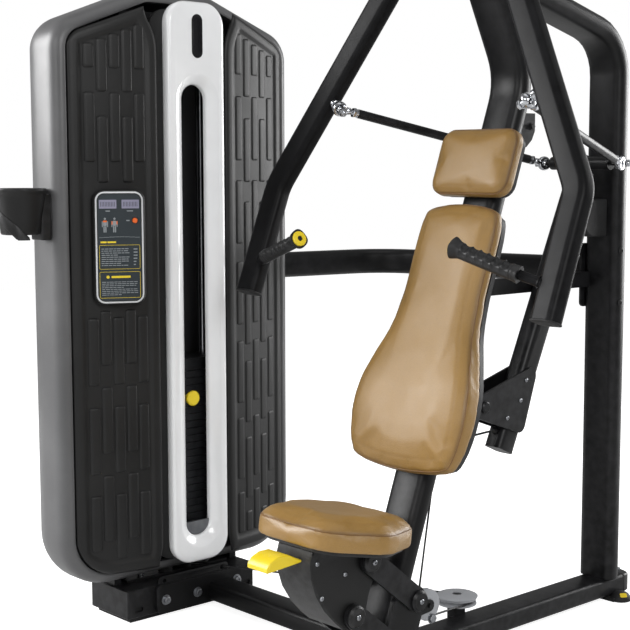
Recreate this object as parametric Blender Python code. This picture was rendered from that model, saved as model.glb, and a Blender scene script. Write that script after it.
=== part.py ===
"""Selectorised chest press: tower with weight stack, inclined frame, two press arms, pads, adjustable seat.

Metres, +Z up.  The user faces -Y.  The origin is on the floor under the foot of the inclined column.
"""

import math

import bmesh
import bpy
from mathutils import Matrix, Vector
from mathutils.geometry import tessellate_polygon

GAP = 0.0003

# Frame tubes: width x depth x corner radius.
TUBE_W = 0.100
TUBE_D = 0.050
TUBE_R = 0.020

# Inclined column: its centre line is y = COL_SLOPE * z up to the bend, then it leans forwards.
COL_SLOPE = 0.3614
COL_BEND_Z = 1.300
HEAD_SLOPE = -0.500
COL_TOP_Z = 1.664
COL_REAR = 0.0266

# Rear upright and the beam it turns into.
UP_Y = 0.829
UP_BEND_Z = 1.410
BEAM_RISE = 0.260

# Base.
RAIL_W = 0.080
RAIL_Z0 = 0.012
RAIL_Z1 = 0.058
RAIL_END_Y = 0.880
CROSS_Y0 = 0.055
CROSS_Y1 = 0.130

# Tower (its slotted face looks along +X).
TW_Y = 0.011
TW_HALF = 0.347
TW_BOTTOM = 0.100
TW_TOP = 1.515
TW_SHOULDER = 1.420
TW_BACK = -0.840
TW_RIM = -0.662
STRIP_Y = 0.019
PANEL_INSET = 0.0320
PANEL_IN = 0.100
PANEL_OUT = 0.3146
CONSOLE_TURN = 0.48
BOX_X0 = -0.794
BOX_X1 = -0.635
BOX_Y0 = -0.183
BOX_Y1 = 0.205
BOX_TOP = 0.082
FLANGE_X = -0.6265

# Weight stack.
STACK_X = -0.715
STACK_Z0 = 0.200
PLATE_PITCH = 0.018
PLATE_T = 0.0165
FIXED_PLATES = 18
MOVING_PLATES = 4
ROD_OFF = 0.100
ROD_R = 0.0095
HEAD_T = 0.030
PIN_Z = 0.5335
HEAD_PLATE_Z = STACK_Z0 + (FIXED_PLATES + MOVING_PLATES) * PLATE_PITCH

# Arms (right-hand side of these numbers is the +X arm).
HEAD_Y = 0.2745
HEAD_Z = 1.695
ARM_AXIS = Vector((0.985, -0.1736, 0.0)).normalized()
ARM_TOP = Vector((0.083, 0.292, 1.668))
ARM_BEND = Vector((0.446, 0.139, 1.055))
ARM_END = Vector((0.4447, 0.045, 0.807))
GRIP_BASE = Vector((0.413, 0.048, 0.882))
GRIP_END = Vector((0.230, 0.016, 0.940))
ROD_FRONT = Vector((0.2780, 0.1819, 1.2310))
ROD_REAR = Vector((0.115, 0.724, 1.107))
STUD_DIR = Vector((-0.846, -0.146, -0.512)).normalized()
STUD_REACH = 0.0555
BALL_R = 0.0098

# Lever behind the column.
LEVER_PIVOT = Vector((0.0, 0.345, 0.555))
LEVER_Y0 = 0.2286
LEVER_SLOPE = 0.4572
LEVER_Z0 = 0.440
LEVER_Z1 = 1.070
LEVER_W = 0.050
LEVER_D = 0.060

# Cable and pulleys.
CABLE_R = 0.0025
RUN_Z = 0.091
IDLER = Vector((0.0, 0.245, 0.452))
IDLER_R = 0.030
VPULLEY = Vector((0.0, 0.188, 0.121))
VPULLEY_R = 0.030
HPULLEY = Vector((-0.040, 0.335, RUN_Z))
HPULLEY_R = 0.040
LOW_PULLEY = Vector((-0.7676, 0.043, 0.126))
LOW_R = 0.035
TOP_PULLEY = Vector((-0.757, 0.0197, 1.395))
TOP_R = 0.0431

# Seat parallelogram: frame pivots A, B and seat pivots C, D in the YZ plane.
PIV_A = (0.097, 0.164)
PIV_B = (0.051, 0.056)
LINK = (-0.142, 0.115)
PIV_C = (PIV_A[0] + LINK[0], PIV_A[1] + LINK[1])
PIV_D = (PIV_B[0] + LINK[0], PIV_B[1] + LINK[1])
SEAT_Y = -0.075
SEAT_Z = 0.348
SEAT_TILT = math.radians(8.0)

MATERIALS = {
    "frame_black": ((0.022, 0.023, 0.025), 0.38, 0.0),
    "cover_dark": ((0.045, 0.046, 0.049), 0.50, 0.0),
    "rim_grey": ((0.110, 0.112, 0.116), 0.42, 0.0),
    "strip_white": ((0.86, 0.87, 0.88), 0.15, 0.0),
    "accent_yellow": ((0.80, 0.66, 0.06), 0.40, 0.0),
    "accent_orange": ((0.85, 0.22, 0.04), 0.40, 0.0),
    "chrome": ((0.75, 0.76, 0.78), 0.14, 1.0),
    "plate_steel": ((0.060, 0.062, 0.066), 0.45, 0.6),
    "vinyl_tan": ((0.44, 0.29, 0.11), 0.45, 0.0),
    "shell_grey": ((0.060, 0.060, 0.062), 0.55, 0.0),
    "rubber_black": ((0.018, 0.018, 0.018), 0.75, 0.0),
    "pulley_grey": ((0.42, 0.43, 0.45), 0.40, 0.0),
}


def clear_scene():
    for item in list(bpy.data.objects):
        bpy.data.objects.remove(item, do_unlink=True)
    for mesh in list(bpy.data.meshes):
        bpy.data.meshes.remove(mesh)


def material(name):
    found = bpy.data.materials.get(name)
    if found:
        return found
    color, rough, metal = MATERIALS[name]
    made = bpy.data.materials.new(name)
    made.use_nodes = True
    shader = made.node_tree.nodes["Principled BSDF"]
    shader.inputs["Base Color"].default_value = (*color, 1.0)
    shader.inputs["Roughness"].default_value = rough
    shader.inputs["Metallic"].default_value = metal
    made.diffuse_color = (*color, 1.0)
    return made


# ---------------------------------------------------------------- outlines


def fillet(corners, steps=4):
    """Polygon through corners given as (a, b, radius), each rounded with steps + 1 points."""
    out = []
    count = len(corners)
    for i in range(count):
        p = Vector(corners[i][:2])
        prev = Vector(corners[i - 1][:2])
        nxt = Vector(corners[(i + 1) % count][:2])
        radius = corners[i][2]
        a = (prev - p).normalized()
        b = (nxt - p).normalized()
        half = a.angle(b) / 2
        reach = radius / math.tan(half)
        centre = p + (a + b).normalized() * (radius / math.sin(half))
        start = p + a * reach - centre
        end = p + b * reach - centre
        turn = start.angle_signed(end)
        for k in range(steps + 1):
            angle = -turn * k / steps
            c, s = math.cos(angle), math.sin(angle)
            out.append((centre[0] + start[0] * c - start[1] * s, centre[1] + start[0] * s + start[1] * c))
    return out


def inset(corners, d):
    """The same corners moved inwards by d (counter-clockwise input), radii reduced to match."""
    count = len(corners)
    lines = []
    for i in range(count):
        p = Vector(corners[i][:2])
        q = Vector(corners[(i + 1) % count][:2])
        along = (q - p).normalized()
        normal = Vector((-along[1], along[0]))
        lines.append((p + normal * d, along))
    out = []
    for i in range(count):
        p, u = lines[i - 1]
        q, v = lines[i]
        cross = u[0] * v[1] - u[1] * v[0]
        t = ((q[0] - p[0]) * v[1] - (q[1] - p[1]) * v[0]) / cross
        hit = p + u * t
        out.append((hit[0], hit[1], max(corners[i][2] - d, 0.004)))
    return out


def rect_plain(a0, a1, b0, b1):
    return [(a0, b0), (a1, b0), (a1, b1), (a0, b1)]


def rect(a0, a1, b0, b1, radius):
    return [(a0, b0, radius), (a1, b0, radius), (a1, b1, radius), (a0, b1, radius)]


def circle(centre, radius, count=20, start=0.0):
    out = []
    for k in range(count):
        angle = start + 2 * math.pi * k / count
        out.append((centre[0] + radius * math.cos(angle), centre[1] + radius * math.sin(angle)))
    return out


def lobed(points, steps=8):
    """Outline made of circles (a, b, radius) joined by their outer tangents, counter-clockwise."""
    out = []
    count = len(points)
    for i in range(count):
        prev, here, nxt = points[i - 1], points[i], points[(i + 1) % count]
        a0 = tangent_angle(prev, here)
        a1 = tangent_angle(here, nxt)
        while a1 < a0:
            a1 += 2 * math.pi
        for k in range(steps + 1):
            angle = a0 + (a1 - a0) * k / steps
            out.append((here[0] + here[2] * math.cos(angle), here[1] + here[2] * math.sin(angle)))
    return out


def tangent_angle(p, q):
    """Direction of the outer normal of the tangent from circle p to circle q."""
    dx, dy = q[0] - p[0], q[1] - p[1]
    return math.atan2(dy, dx) - math.pi / 2 + math.asin((p[2] - q[2]) / math.hypot(dx, dy)) * -1


# ---------------------------------------------------------------- solids

AXES = {
    "X": lambda a, b, h: (h, a, b),
    "Y": lambda a, b, h: (a, h, b),
    "Z": lambda a, b, h: (a, b, h),
}


def solid(verts, faces):
    made = bmesh.new()
    for v in verts:
        made.verts.new(v)
    made.verts.ensure_lookup_table()
    for f in faces:
        made.faces.new([made.verts[i] for i in f])
    bmesh.ops.recalc_face_normals(made, faces=made.faces)
    return made


def prism(outline, lo, hi, axis="Z", holes=(), bevel=0.0, segments=1):
    """Outline (with holes) in the plane across an axis, pushed from lo to hi along that axis."""
    put = AXES[axis]
    loops = [outline, *holes]
    flat = [p for loop in loops for p in loop]
    count = len(flat)
    verts = [put(p[0], p[1], lo) for p in flat] + [put(p[0], p[1], hi) for p in flat]
    faces = []
    if holes:
        for tri in tessellate_polygon([[Vector((p[0], p[1], 0)) for p in loop] for loop in loops]):
            faces.append(tuple(tri))
            faces.append(tuple(i + count for i in tri))
    else:
        faces.append(tuple(range(count)))
        faces.append(tuple(range(count, 2 * count)))
    base = 0
    for loop in loops:
        size = len(loop)
        for i in range(size):
            j = (i + 1) % size
            faces.append((base + i, base + j, base + j + count, base + i + count))
        base += size
    made = solid(verts, faces)
    if bevel:
        edges = [e for e in made.edges if e.calc_face_angle(0) > 0.6]
        bmesh.ops.bevel(made, geom=edges, offset=bevel, segments=segments, affect="EDGES", profile=0.5)
    return made


def box(x0, x1, y0, y1, z0, z1, bevel=0.0):
    return prism([(x0, y0), (x1, y0), (x1, y1), (x0, y1)], z0, z1, "Z", bevel=bevel)


def loft(loops, closed=False, caps=True):
    """Skin through loops of 3-D points with equal counts."""
    size = len(loops[0])
    verts = [p for loop in loops for p in loop]
    faces = []
    last = len(loops) if closed else len(loops) - 1
    for k in range(last):
        a = k * size
        b = ((k + 1) % len(loops)) * size
        for i in range(size):
            j = (i + 1) % size
            faces.append((a + i, a + j, b + j, b + i))
    if caps and not closed:
        faces.append(tuple(range(size)))
        faces.append(tuple(range((len(loops) - 1) * size, len(loops) * size)))
    return solid(verts, faces)


def frame_of(direction, hint=Vector((0, 0, 1))):
    w = Vector(direction).normalized()
    if abs(w.dot(hint)) > 0.99:
        hint = Vector((0, 1, 0))
    u = hint.cross(w).normalized()
    v = w.cross(u)
    return u, v, w


def lathe(profile, base, direction, count=20):
    """Profile of (radius, height) turned about the line from base along direction."""
    u, v, w = frame_of(direction)
    base = Vector(base)
    loops = []
    for radius, height in profile:
        loop = []
        for k in range(count):
            angle = 2 * math.pi * k / count
            loop.append(base + w * height + (u * math.cos(angle) + v * math.sin(angle)) * radius)
        loops.append(loop)
    return loft(loops)


def ring_lathe(profile, base, direction, count=20):
    """Closed profile that doesn't reach the axis, turned into a ring."""
    u, v, w = frame_of(direction)
    base = Vector(base)
    loops = []
    for radius, height in profile:
        loop = []
        for k in range(count):
            angle = 2 * math.pi * k / count
            loop.append(base + w * height + (u * math.cos(angle) + v * math.sin(angle)) * radius)
        loops.append(loop)
    return loft(loops, closed=True)


def cylinder(p, q, radius, count=16):
    length = (Vector(q) - Vector(p)).length
    return lathe([(radius, 0.0), (radius, length)], p, Vector(q) - Vector(p), count)


def round_corners(path, radii, steps):
    """3-D polyline with its inner corners rounded."""
    out = [Vector(path[0])]
    for i in range(1, len(path) - 1):
        p = Vector(path[i])
        a = (Vector(path[i - 1]) - p).normalized()
        b = (Vector(path[i + 1]) - p).normalized()
        half = a.angle(b) / 2
        radius = radii[i - 1]
        reach = radius / math.tan(half)
        centre = p + (a + b).normalized() * (radius / math.sin(half))
        start = p + a * reach - centre
        end = p + b * reach - centre
        whole = start.angle(end)
        for k in range(steps + 1):
            t = k / steps
            mix = (start * math.sin((1 - t) * whole) + end * math.sin(t * whole)) / math.sin(whole)
            out.append(centre + mix)
    out.append(Vector(path[-1]))
    return out


def sweep(outline, path, side, start_normal=None, end_normal=None):
    """Outline of (a, b) carried along path; a lies along side, b across side and path."""
    side = Vector(side).normalized()
    loops = []
    count = len(path)
    for i in range(count):
        here = Vector(path[i])
        if i == 0:
            into = (Vector(path[1]) - here).normalized()
            normal = Vector(start_normal) if start_normal else into
        elif i == count - 1:
            into = (here - Vector(path[i - 1])).normalized()
            normal = Vector(end_normal) if end_normal else into
        else:
            into = (here - Vector(path[i - 1])).normalized()
            out = (Vector(path[i + 1]) - here).normalized()
            normal = (into + out).normalized()
        across = into.cross(side).normalized()
        true_side = across.cross(into).normalized()
        loop = []
        for a, b in outline:
            q = here + true_side * a + across * b
            t = (here - q).dot(normal) / into.dot(normal)
            loop.append(q + into * t)
        loops.append(loop)
    return loft(loops)


def tube_outline(width, depth, radius, steps=3):
    return fillet(rect(-width / 2, width / 2, -depth / 2, depth / 2, radius), steps)


def cord(points, radius=CABLE_R, count=6):
    return sweep(circle((0, 0), radius, count), points, Vector((0.31, 0.17, 0.93)))


def mirrored(made):
    """Copy of a solid on the other side of the X = 0 plane."""
    copy = made.copy()
    bmesh.ops.transform(copy, matrix=Matrix.Scale(-1, 4, Vector((1, 0, 0))), verts=copy.verts)
    bmesh.ops.reverse_faces(copy, faces=copy.faces)
    return copy


def moved(made, matrix):
    bmesh.ops.transform(made, matrix=matrix, verts=made.verts)
    return made


# ---------------------------------------------------------------- objects


def plain_object(name, made):
    mesh = bpy.data.meshes.new(name)
    made.to_mesh(mesh)
    made.free()
    item = bpy.data.objects.new(name, mesh)
    bpy.context.scene.collection.objects.link(item)
    return item


def boolean(target, other, operation):
    step = target.modifiers.new(operation.lower(), "BOOLEAN")
    step.operation = operation
    step.solver = "EXACT"
    step.object = other
    graph = bpy.context.evaluated_depsgraph_get()
    mesh = bpy.data.meshes.new_from_object(target.evaluated_get(graph))
    target.modifiers.clear()
    target.data = mesh
    bpy.data.objects.remove(other, do_unlink=True)


def taken(item):
    """The solid of a temporary object, which is removed."""
    made = bmesh.new()
    made.from_mesh(item.data)
    bpy.data.objects.remove(item, do_unlink=True)
    return made


def tidy(mesh):
    """Drops the slivers that a Boolean leaves."""
    made = bmesh.new()
    made.from_mesh(mesh)
    bmesh.ops.remove_doubles(made, verts=made.verts, dist=0.00002)
    bmesh.ops.dissolve_degenerate(made, dist=0.00002, edges=made.edges)
    made.to_mesh(mesh)
    made.free()


def node(name, slot, body, fused=(), cuts=(), origin=(0, 0, 0), smooth=30.0):
    """One named sub-part: a body, fused with others, then cut."""
    item = plain_object(name, body)
    for made in fused:
        boolean(item, plain_object("helper", made), "UNION")
    for made in cuts:
        boolean(item, plain_object("helper", made), "DIFFERENCE")
    if fused or cuts:
        tidy(item.data)
    origin = Vector(origin)
    item.data.transform(Matrix.Translation(-origin))
    item.location = origin
    item.name = name
    item.data.name = name
    item.data.materials.clear()
    item.data.materials.append(material(slot))
    if smooth:
        item.data.shade_smooth()
        item.data.set_sharp_from_angle(angle=math.radians(smooth))
    return item


# ---------------------------------------------------------------- frame


def col_y(z):
    return COL_SLOPE * z


def make_base():
    node("base_plate", "frame_black", box(-0.075, 0.075, -0.070, 0.040, 0.0, 0.010, 0.0015))
    rail_section = fillet(rect(-RAIL_W / 2, RAIL_W / 2, RAIL_Z0, RAIL_Z1, 0.010), 3)
    start = col_y(RAIL_Z1) + COL_REAR + 0.003
    post = lathe([(0.0056, 0.0), (0.0056, RUN_Z + 0.0085 - 0.050), (0.0105, RUN_Z + 0.0087 - 0.050),
                  (0.0105, RUN_Z + 0.0130 - 0.050)], (HPULLEY.x, HPULLEY.y, 0.050), (0, 0, 1), 14)
    pad = box(HPULLEY.x - 0.014, -0.030, HPULLEY.y - 0.018, HPULLEY.y + 0.018, 0.048, RUN_Z - 0.0085)
    node("base_rail", "frame_black", prism(rail_section, start, RAIL_END_Y, "Y"), fused=[pad, post])
    cap = [(-0.040, RAIL_END_Y + GAP), (0.040, RAIL_END_Y + GAP)]
    for k in range(9):
        angle = math.pi * k / 8
        cap.append((0.040 * math.cos(angle), RAIL_END_Y + 0.012 + 0.026 * math.sin(angle)))
    node("rail_end_cap", "shell_grey", prism(cap, RAIL_Z0, RAIL_Z1, "Z", bevel=0.003))
    cross_section = fillet(rect(CROSS_Y0, CROSS_Y1, RAIL_Z0, RAIL_Z1, 0.010), 3)
    tube = prism(cross_section, FLANGE_X - 0.004, -RAIL_W / 2 - GAP, "X")
    outline = fillet(rect(-0.103, 0.158, RAIL_Z0, BOX_TOP, 0.012), 3)
    flange = prism(outline, FLANGE_X - 0.008, FLANGE_X, "X")
    notch = box(-0.088, 0.0, CROSS_Y0 - 0.010, 0.0930, 0.0, 0.070)
    node("transverse_tube", "frame_black", flange, fused=[tube], cuts=[notch])


def make_column():
    foot = Vector((0, col_y(0.0103), 0.0103))
    bend = Vector((0, col_y(COL_BEND_Z), COL_BEND_Z))
    top = Vector((0, bend.y + HEAD_SLOPE * (COL_TOP_Z - COL_BEND_Z), COL_TOP_Z))
    path = round_corners([foot, bend, top], [0.14], 6)
    body = sweep(tube_outline(TUBE_W, TUBE_D, TUBE_R), path, (1, 0, 0), start_normal=(0, 0, 1))
    rear = COL_REAR - 0.010
    fin = [
        (col_y(1.140) + rear, 1.140),
        (0.470, 1.143),
        (0.490, 1.160),
        (0.500, 1.180),
        (0.500, 1.220),
        (col_y(1.220) + rear, 1.220),
    ]
    y0 = col_y(0.819) + COL_REAR - 0.012
    brace = prism(rect_plain(y0, UP_Y - TUBE_D / 2 - GAP, 0.800, 0.838), -0.0440, -0.0280, "X")
    fused = [prism(fin, 0.030, 0.038, "X"), brace]
    fused += column_pulley_cheeks()
    fused += seat_cheeks()
    node("column", "frame_black", body, fused=fused)


def make_upright():
    head = Vector((0, HEAD_SLOPE, 1)).normalized()
    rear = Vector((0, head.z, -head.y))
    bend_y = col_y(COL_BEND_Z)
    y = (bend_y + HEAD_SLOPE * (UP_BEND_Z + BEAM_RISE * UP_Y - COL_BEND_Z)) / (1 + HEAD_SLOPE * BEAM_RISE)
    meet = Vector((0, y, UP_BEND_Z + BEAM_RISE * (UP_Y - y)))
    beam = Vector((0, -1, BEAM_RISE)).normalized()
    end = meet - beam * ((TUBE_D / 2 + GAP) / -beam.dot(rear))
    path = round_corners([(0, UP_Y, RAIL_Z1 + GAP), (0, UP_Y, UP_BEND_Z), end], [0.115], 6)
    body = sweep(tube_outline(TUBE_W, TUBE_D, TUBE_R), path, (1, 0, 0), end_normal=rear)
    node("rear_upright", "frame_black", body)


def make_cross_tube():
    z = 0.840
    path = round_corners(
        [(-0.718, 0.3620, z), (-0.668, 0.700, z), (-0.0540, 0.829, z)],
        [0.14],
        7,
    )
    outline = tube_outline(0.066, 0.050, 0.018)
    body = sweep(outline, path, (0, 0, 1), start_normal=(0, 1, 0), end_normal=(1, 0, 0))
    near = prism(fillet(rect(0.798, 0.860, 0.748, 0.908, 0.012), 3), -0.0565, -0.0503, "X")
    far = prism(fillet(rect(-0.739, -0.697, 0.795, 0.885, 0.010), 3), 0.3584, 0.3644, "Y")
    node("cross_tube", "frame_black", body, fused=[near, far])


def make_feet():
    node("rear_foot", "rubber_black", box(-0.055, 0.055, 0.820, 0.885, 0.0, RAIL_Z0 - GAP, 0.002))
    node("tower_foot", "rubber_black", box(-0.785, -0.645, -0.170, 0.192, 0.0, RAIL_Z0 - GAP, 0.002))
    parts = [box(STACK_X - 0.020, STACK_X + 0.030, TW_Y - 0.080, TW_Y + 0.080, 0.190, STACK_Z0 - GAP)]
    for side in (-1, 1):
        at = Vector((STACK_X + 0.005, TW_Y + side * 0.030, BOX_TOP + 0.0063))
        parts.append(cylinder(at, (at.x, at.y, 0.192), 0.018, 14))
    node("stack_bumper", "rubber_black", parts[0], fused=parts[1:])


def make_stops():
    hook = [(UP_Y - TUBE_D / 2 - GAP, 1.020), (0.7300, 1.020), (0.7110, 0.978)]
    for k in range(7):
        angle = math.pi + 0.5 * math.pi * k / 6
        hook.append((0.752 + 0.040 * math.cos(angle), 0.970 + 0.042 * math.sin(angle)))
    hook.append((UP_Y - TUBE_D / 2 - GAP, 0.928))
    node("lever_rest", "rubber_black", prism(hook, -0.022, 0.022, "X", bevel=0.003))


def pivot_head():
    centre = Vector((0, HEAD_Y, HEAD_Z))
    barrel = cylinder(centre - Vector((0.047, 0, 0)), centre + Vector((0.047, 0, 0)), 0.0330, 24)
    shafts = []
    for side in (1, -1):
        along = Vector((ARM_AXIS.x * side, ARM_AXIS.y, 0))
        shafts.append(cylinder(centre + along * 0.020, centre + along * 0.1325, 0.0125, 16))
        shafts.append(lathe([(0.024, 0), (0.024, 0.004), (0.018, 0.008)], centre + along * 0.132, along, 20))
    node("pivot_head", "frame_black", barrel, fused=shafts)


# ---------------------------------------------------------------- tower


def arch(d=0.0):
    corners = [
        (TW_Y - TW_HALF, TW_BOTTOM, 0.130),
        (TW_Y + TW_HALF, TW_BOTTOM, 0.130),
        (TW_Y + TW_HALF, TW_SHOULDER, 0.080),
        (TW_Y + 0.100, TW_TOP, 0.090),
        (TW_Y - 0.100, TW_TOP, 0.090),
        (TW_Y - TW_HALF, TW_SHOULDER, 0.080),
    ]
    return inset(corners, d) if d else corners


def arch_loop(x, d, steps=5):
    return [(x, a, b) for a, b in fillet(arch(d), steps)]


def span(outline, y):
    """Lowest and highest z of an outline at a given y."""
    hits = []
    count = len(outline)
    for i in range(count):
        p, q = outline[i], outline[(i + 1) % count]
        if (p[0] - y) * (q[0] - y) <= 0 and p[0] != q[0]:
            hits.append(p[1] + (q[1] - p[1]) * (y - p[0]) / (q[0] - p[0]))
    return min(hits), max(hits)


def panel_x(off):
    """Front surface of the swept-back panels at a distance from the tower's middle."""
    return -0.6150 - 0.150 * (off - 0.118) - 0.40 * (off - 0.118) ** 2


def make_tower_shell():
    outer = []
    for k in range(6):
        angle = math.radians(18 * k)
        outer.append((TW_BACK + 0.100 * (1 - math.cos(angle)), 0.100 * (1 - math.sin(angle))))
    outer += [
        (TW_BACK + 0.100, 0.0),
        (-0.700, 0.0),
        (-0.680, 0.0035),
        (-0.667, 0.0110),
        (TW_RIM, 0.0220),
        (TW_RIM, 0.0290),
        (-0.676, 0.0308),
        (-0.676, 0.0100),
    ]
    for k in range(6):
        angle = math.radians(90 - 18 * k)
        outer.append((TW_BACK + 0.100 - 0.090 * math.cos(angle), 0.100 - 0.090 * math.sin(angle)))
    outer[0] = (TW_BACK, 0.098)
    outer[-1] = (TW_BACK + 0.010, 0.098)
    body = loft([arch_loop(x, d) for x, d in outer])
    opening = box(-0.818, -0.690, TW_Y - 0.155, TW_Y + 0.155, 0.080, 0.165)
    node("tower_shell", "rim_grey", body, cuts=[opening])


def make_panels():
    shares = [0.0, 0.18, 0.35, 0.50, 0.64, 0.75, 0.84, 0.91, 0.96, 0.985, 1.0]
    offs = [PANEL_IN + (PANEL_OUT - PANEL_IN) * share for share in shares]
    outline = fillet(arch(PANEL_INSET), 10)
    for name, sign in (("panel_front", -1), ("panel_rear", 1)):
        loops = []
        for off in offs:
            y = TW_Y + sign * off
            lo, hi = span(outline, y)
            x = panel_x(off)
            back = x - 0.006
            loops.append([(x, y, lo), (x, y, hi), (back, y, hi), (back, y, lo)])
        node(name, "cover_dark", loft(loops))


def strip_loop(x, grow, inner=False):
    if inner:
        corners = rect(STRIP_Y - 0.036 - grow, STRIP_Y + 0.036 + grow, 0.190 - grow, 1.294 + grow, 0.032 + grow)
    else:
        corners = rect(STRIP_Y - 0.0835 - grow, STRIP_Y + 0.0835 + grow, 0.127 - grow, 1.489 + grow, 0.045 + grow)
    return [(x, a, b) for a, b in fillet(corners, 6)]


def make_strip():
    loops = [
        strip_loop(-0.6300, -0.001),
        strip_loop(-0.6120, 0.0),
        strip_loop(-0.6050, -0.003),
        strip_loop(-0.6020, -0.010),
        strip_loop(-0.6020, 0.016, True),
        strip_loop(-0.6060, 0.008, True),
        strip_loop(-0.6140, 0.0, True),
        strip_loop(-0.6300, 0.0, True),
    ]
    node("centre_strip", "strip_white", loft(loops, closed=True))
    outer = fillet(rect(TW_Y - 0.112, TW_Y + 0.112, 0.142, 1.468, 0.050), 6)
    inner = fillet(rect(STRIP_Y - 0.042, STRIP_Y + 0.042, 0.184, 1.300, 0.038), 6)
    node("front_bezel", "cover_dark", prism(outer, -0.6400, -0.6303, "X", holes=[inner]))


def console_frame():
    off = 0.206
    normal = Vector((1.0, -CONSOLE_TURN, 0)).normalized()
    along = Vector((-normal.y, normal.x, 0))
    base = Vector((panel_x(off), TW_Y - off, 0.913))
    rows = Matrix((
        (normal.x, along.x, 0, base.x),
        (normal.y, along.y, 0, base.y),
        (0, 0, 1, base.z),
        (0, 0, 0, 1),
    ))
    return rows


def make_console():
    place = console_frame()
    outline = rect(-0.0605, 0.0605, -0.134, 0.134, 0.026)
    loops = [[(0.0045 - 0.235 * a, a, b) for a, b in fillet(outline, 5)]]
    for x, d in ((0.0225, 0.0), (0.0270, 0.003), (0.0285, 0.008), (0.0262, 0.011)):
        loops.append([(x, a, b) for a, b in fillet(inset(outline, d) if d else outline, 5)])
    spot = Vector((0.0275, 0.036, 0.062))
    low, high = spot - Vector((0.0063, 0, 0)), spot + Vector((0.0070, 0, 0))
    well = moved(cylinder(low, high, 0.0068, 14), place)
    node("console_housing", "cover_dark", moved(loft(loops), place), cuts=[well])
    button = lathe([(0.0060, -0.0033), (0.0060, 0.0024), (0.0046, 0.0037)], spot, (1, 0, 0), 14)
    node("console_button", "accent_orange", moved(button, place), origin=place @ spot)


def make_cup_holder():
    axis = Vector((-0.717, -0.3995, 0.0))
    profile = [
        (0.0440, 0.945),
        (0.0580, 1.044),
        (0.0600, 1.050),
        (0.0550, 1.050),
        (0.0535, 1.040),
        (0.0400, 0.951),
    ]
    cup = lathe(profile, axis, (0, 0, 1), 24)
    bracket = box(axis.x - 0.024, axis.x + 0.030, -0.3660, -0.3365, 0.930, 1.036, 0.002)
    keep_clear = lathe([(0.0405, 0.952), (0.0540, 1.060)], axis, (0, 0, 1), 24)
    node("cup_holder", "shell_grey", cup, fused=[bracket], cuts=[keep_clear])


def plate_outline():
    """Stack plate seen from above, with a keyway from its front edge to the selector rod."""
    x0, x1 = STACK_X - 0.060, STACK_X + 0.050
    y0, y1 = TW_Y - 0.085, TW_Y + 0.085
    key = 0.0065
    out = [(x0, y0), (x1, y0), (x1, TW_Y - key), (STACK_X - 0.012, TW_Y - key)]
    out += [(STACK_X - 0.012, TW_Y + key), (x1, TW_Y + key), (x1, y1), (x0, y1)]
    return out


def plate_block(z, count):
    """Stack plates as one body: full outlines with a narrower core between them."""
    outline = plate_outline()
    core = [(STACK_X - 0.050, TW_Y - 0.075), (STACK_X + 0.045, TW_Y - 0.075), (STACK_X + 0.045, TW_Y - 0.0100),
            (STACK_X - 0.015, TW_Y - 0.0100), (STACK_X - 0.015, TW_Y + 0.0100), (STACK_X + 0.045, TW_Y + 0.0100),
            (STACK_X + 0.045, TW_Y + 0.075), (STACK_X - 0.050, TW_Y + 0.075)]
    loops = []
    for k in range(count):
        base = z + k * PLATE_PITCH
        if k:
            loops.append([(a, b, base) for a, b in core])
        loops.append([(a, b, base) for a, b in outline])
        loops.append([(a, b, base + PLATE_T) for a, b in outline])
        if k < count - 1:
            loops.append([(a, b, base + PLATE_T) for a, b in core])
    return loft(loops)


def make_stack():
    node("stack_plates", "plate_steel", plate_block(STACK_Z0, FIXED_PLATES), smooth=0)
    z = STACK_Z0 + FIXED_PLATES * PLATE_PITCH
    node("selected_plates", "plate_steel", plate_block(z, MOVING_PLATES), smooth=0)
    z = HEAD_PLATE_Z
    block = prism(fillet(rect(STACK_X - 0.050, STACK_X + 0.050, TW_Y - 0.125, TW_Y + 0.125, 0.008), 2), z, z + HEAD_T)
    cuts = []
    for side in (-1, 1):
        spot = (STACK_X, TW_Y + side * ROD_OFF, z - 0.01)
        cuts.append(cylinder(spot, (spot[0], spot[1], z + 0.05), ROD_R + 0.0012, 16))
    cuts.append(cylinder((STACK_X, TW_Y, z - 0.01), (STACK_X, TW_Y, z + 0.05), 0.0060, 12))
    node("head_plate", "plate_steel", block, cuts=cuts)
    top = z + HEAD_T + GAP
    profile = [(0.0050, 0.212), (0.0050, top), (0.010, top + 0.0001), (0.010, top + 0.016), (0.006, top + 0.022)]
    node("selector_rod", "chrome", lathe(profile, (STACK_X, TW_Y, 0), (0, 0, 1), 14))
    for side, tag in ((-1, "front"), (1, "rear")):
        y = TW_Y + side * ROD_OFF
        rod = cylinder((STACK_X, y, BOX_TOP + 0.0063), (STACK_X, y, 1.4477), ROD_R, 16)
        node("guide_rod_" + tag, "chrome", rod)
    knob_x = -0.6220
    shaft = cylinder((STACK_X + 0.012, TW_Y, PIN_Z), (knob_x - 0.010, TW_Y, PIN_Z), 0.0045, 12)
    knob = lathe(
        [(0.012, 0.0), (0.0165, 0.003), (0.0185, 0.008), (0.0185, 0.013), (0.015, 0.017)],
        (knob_x - 0.014, TW_Y, PIN_Z),
        (1, 0, 0),
        20,
    )
    node("selector_pin", "accent_yellow", knob, fused=[shaft], origin=(knob_x, TW_Y, PIN_Z))


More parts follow.
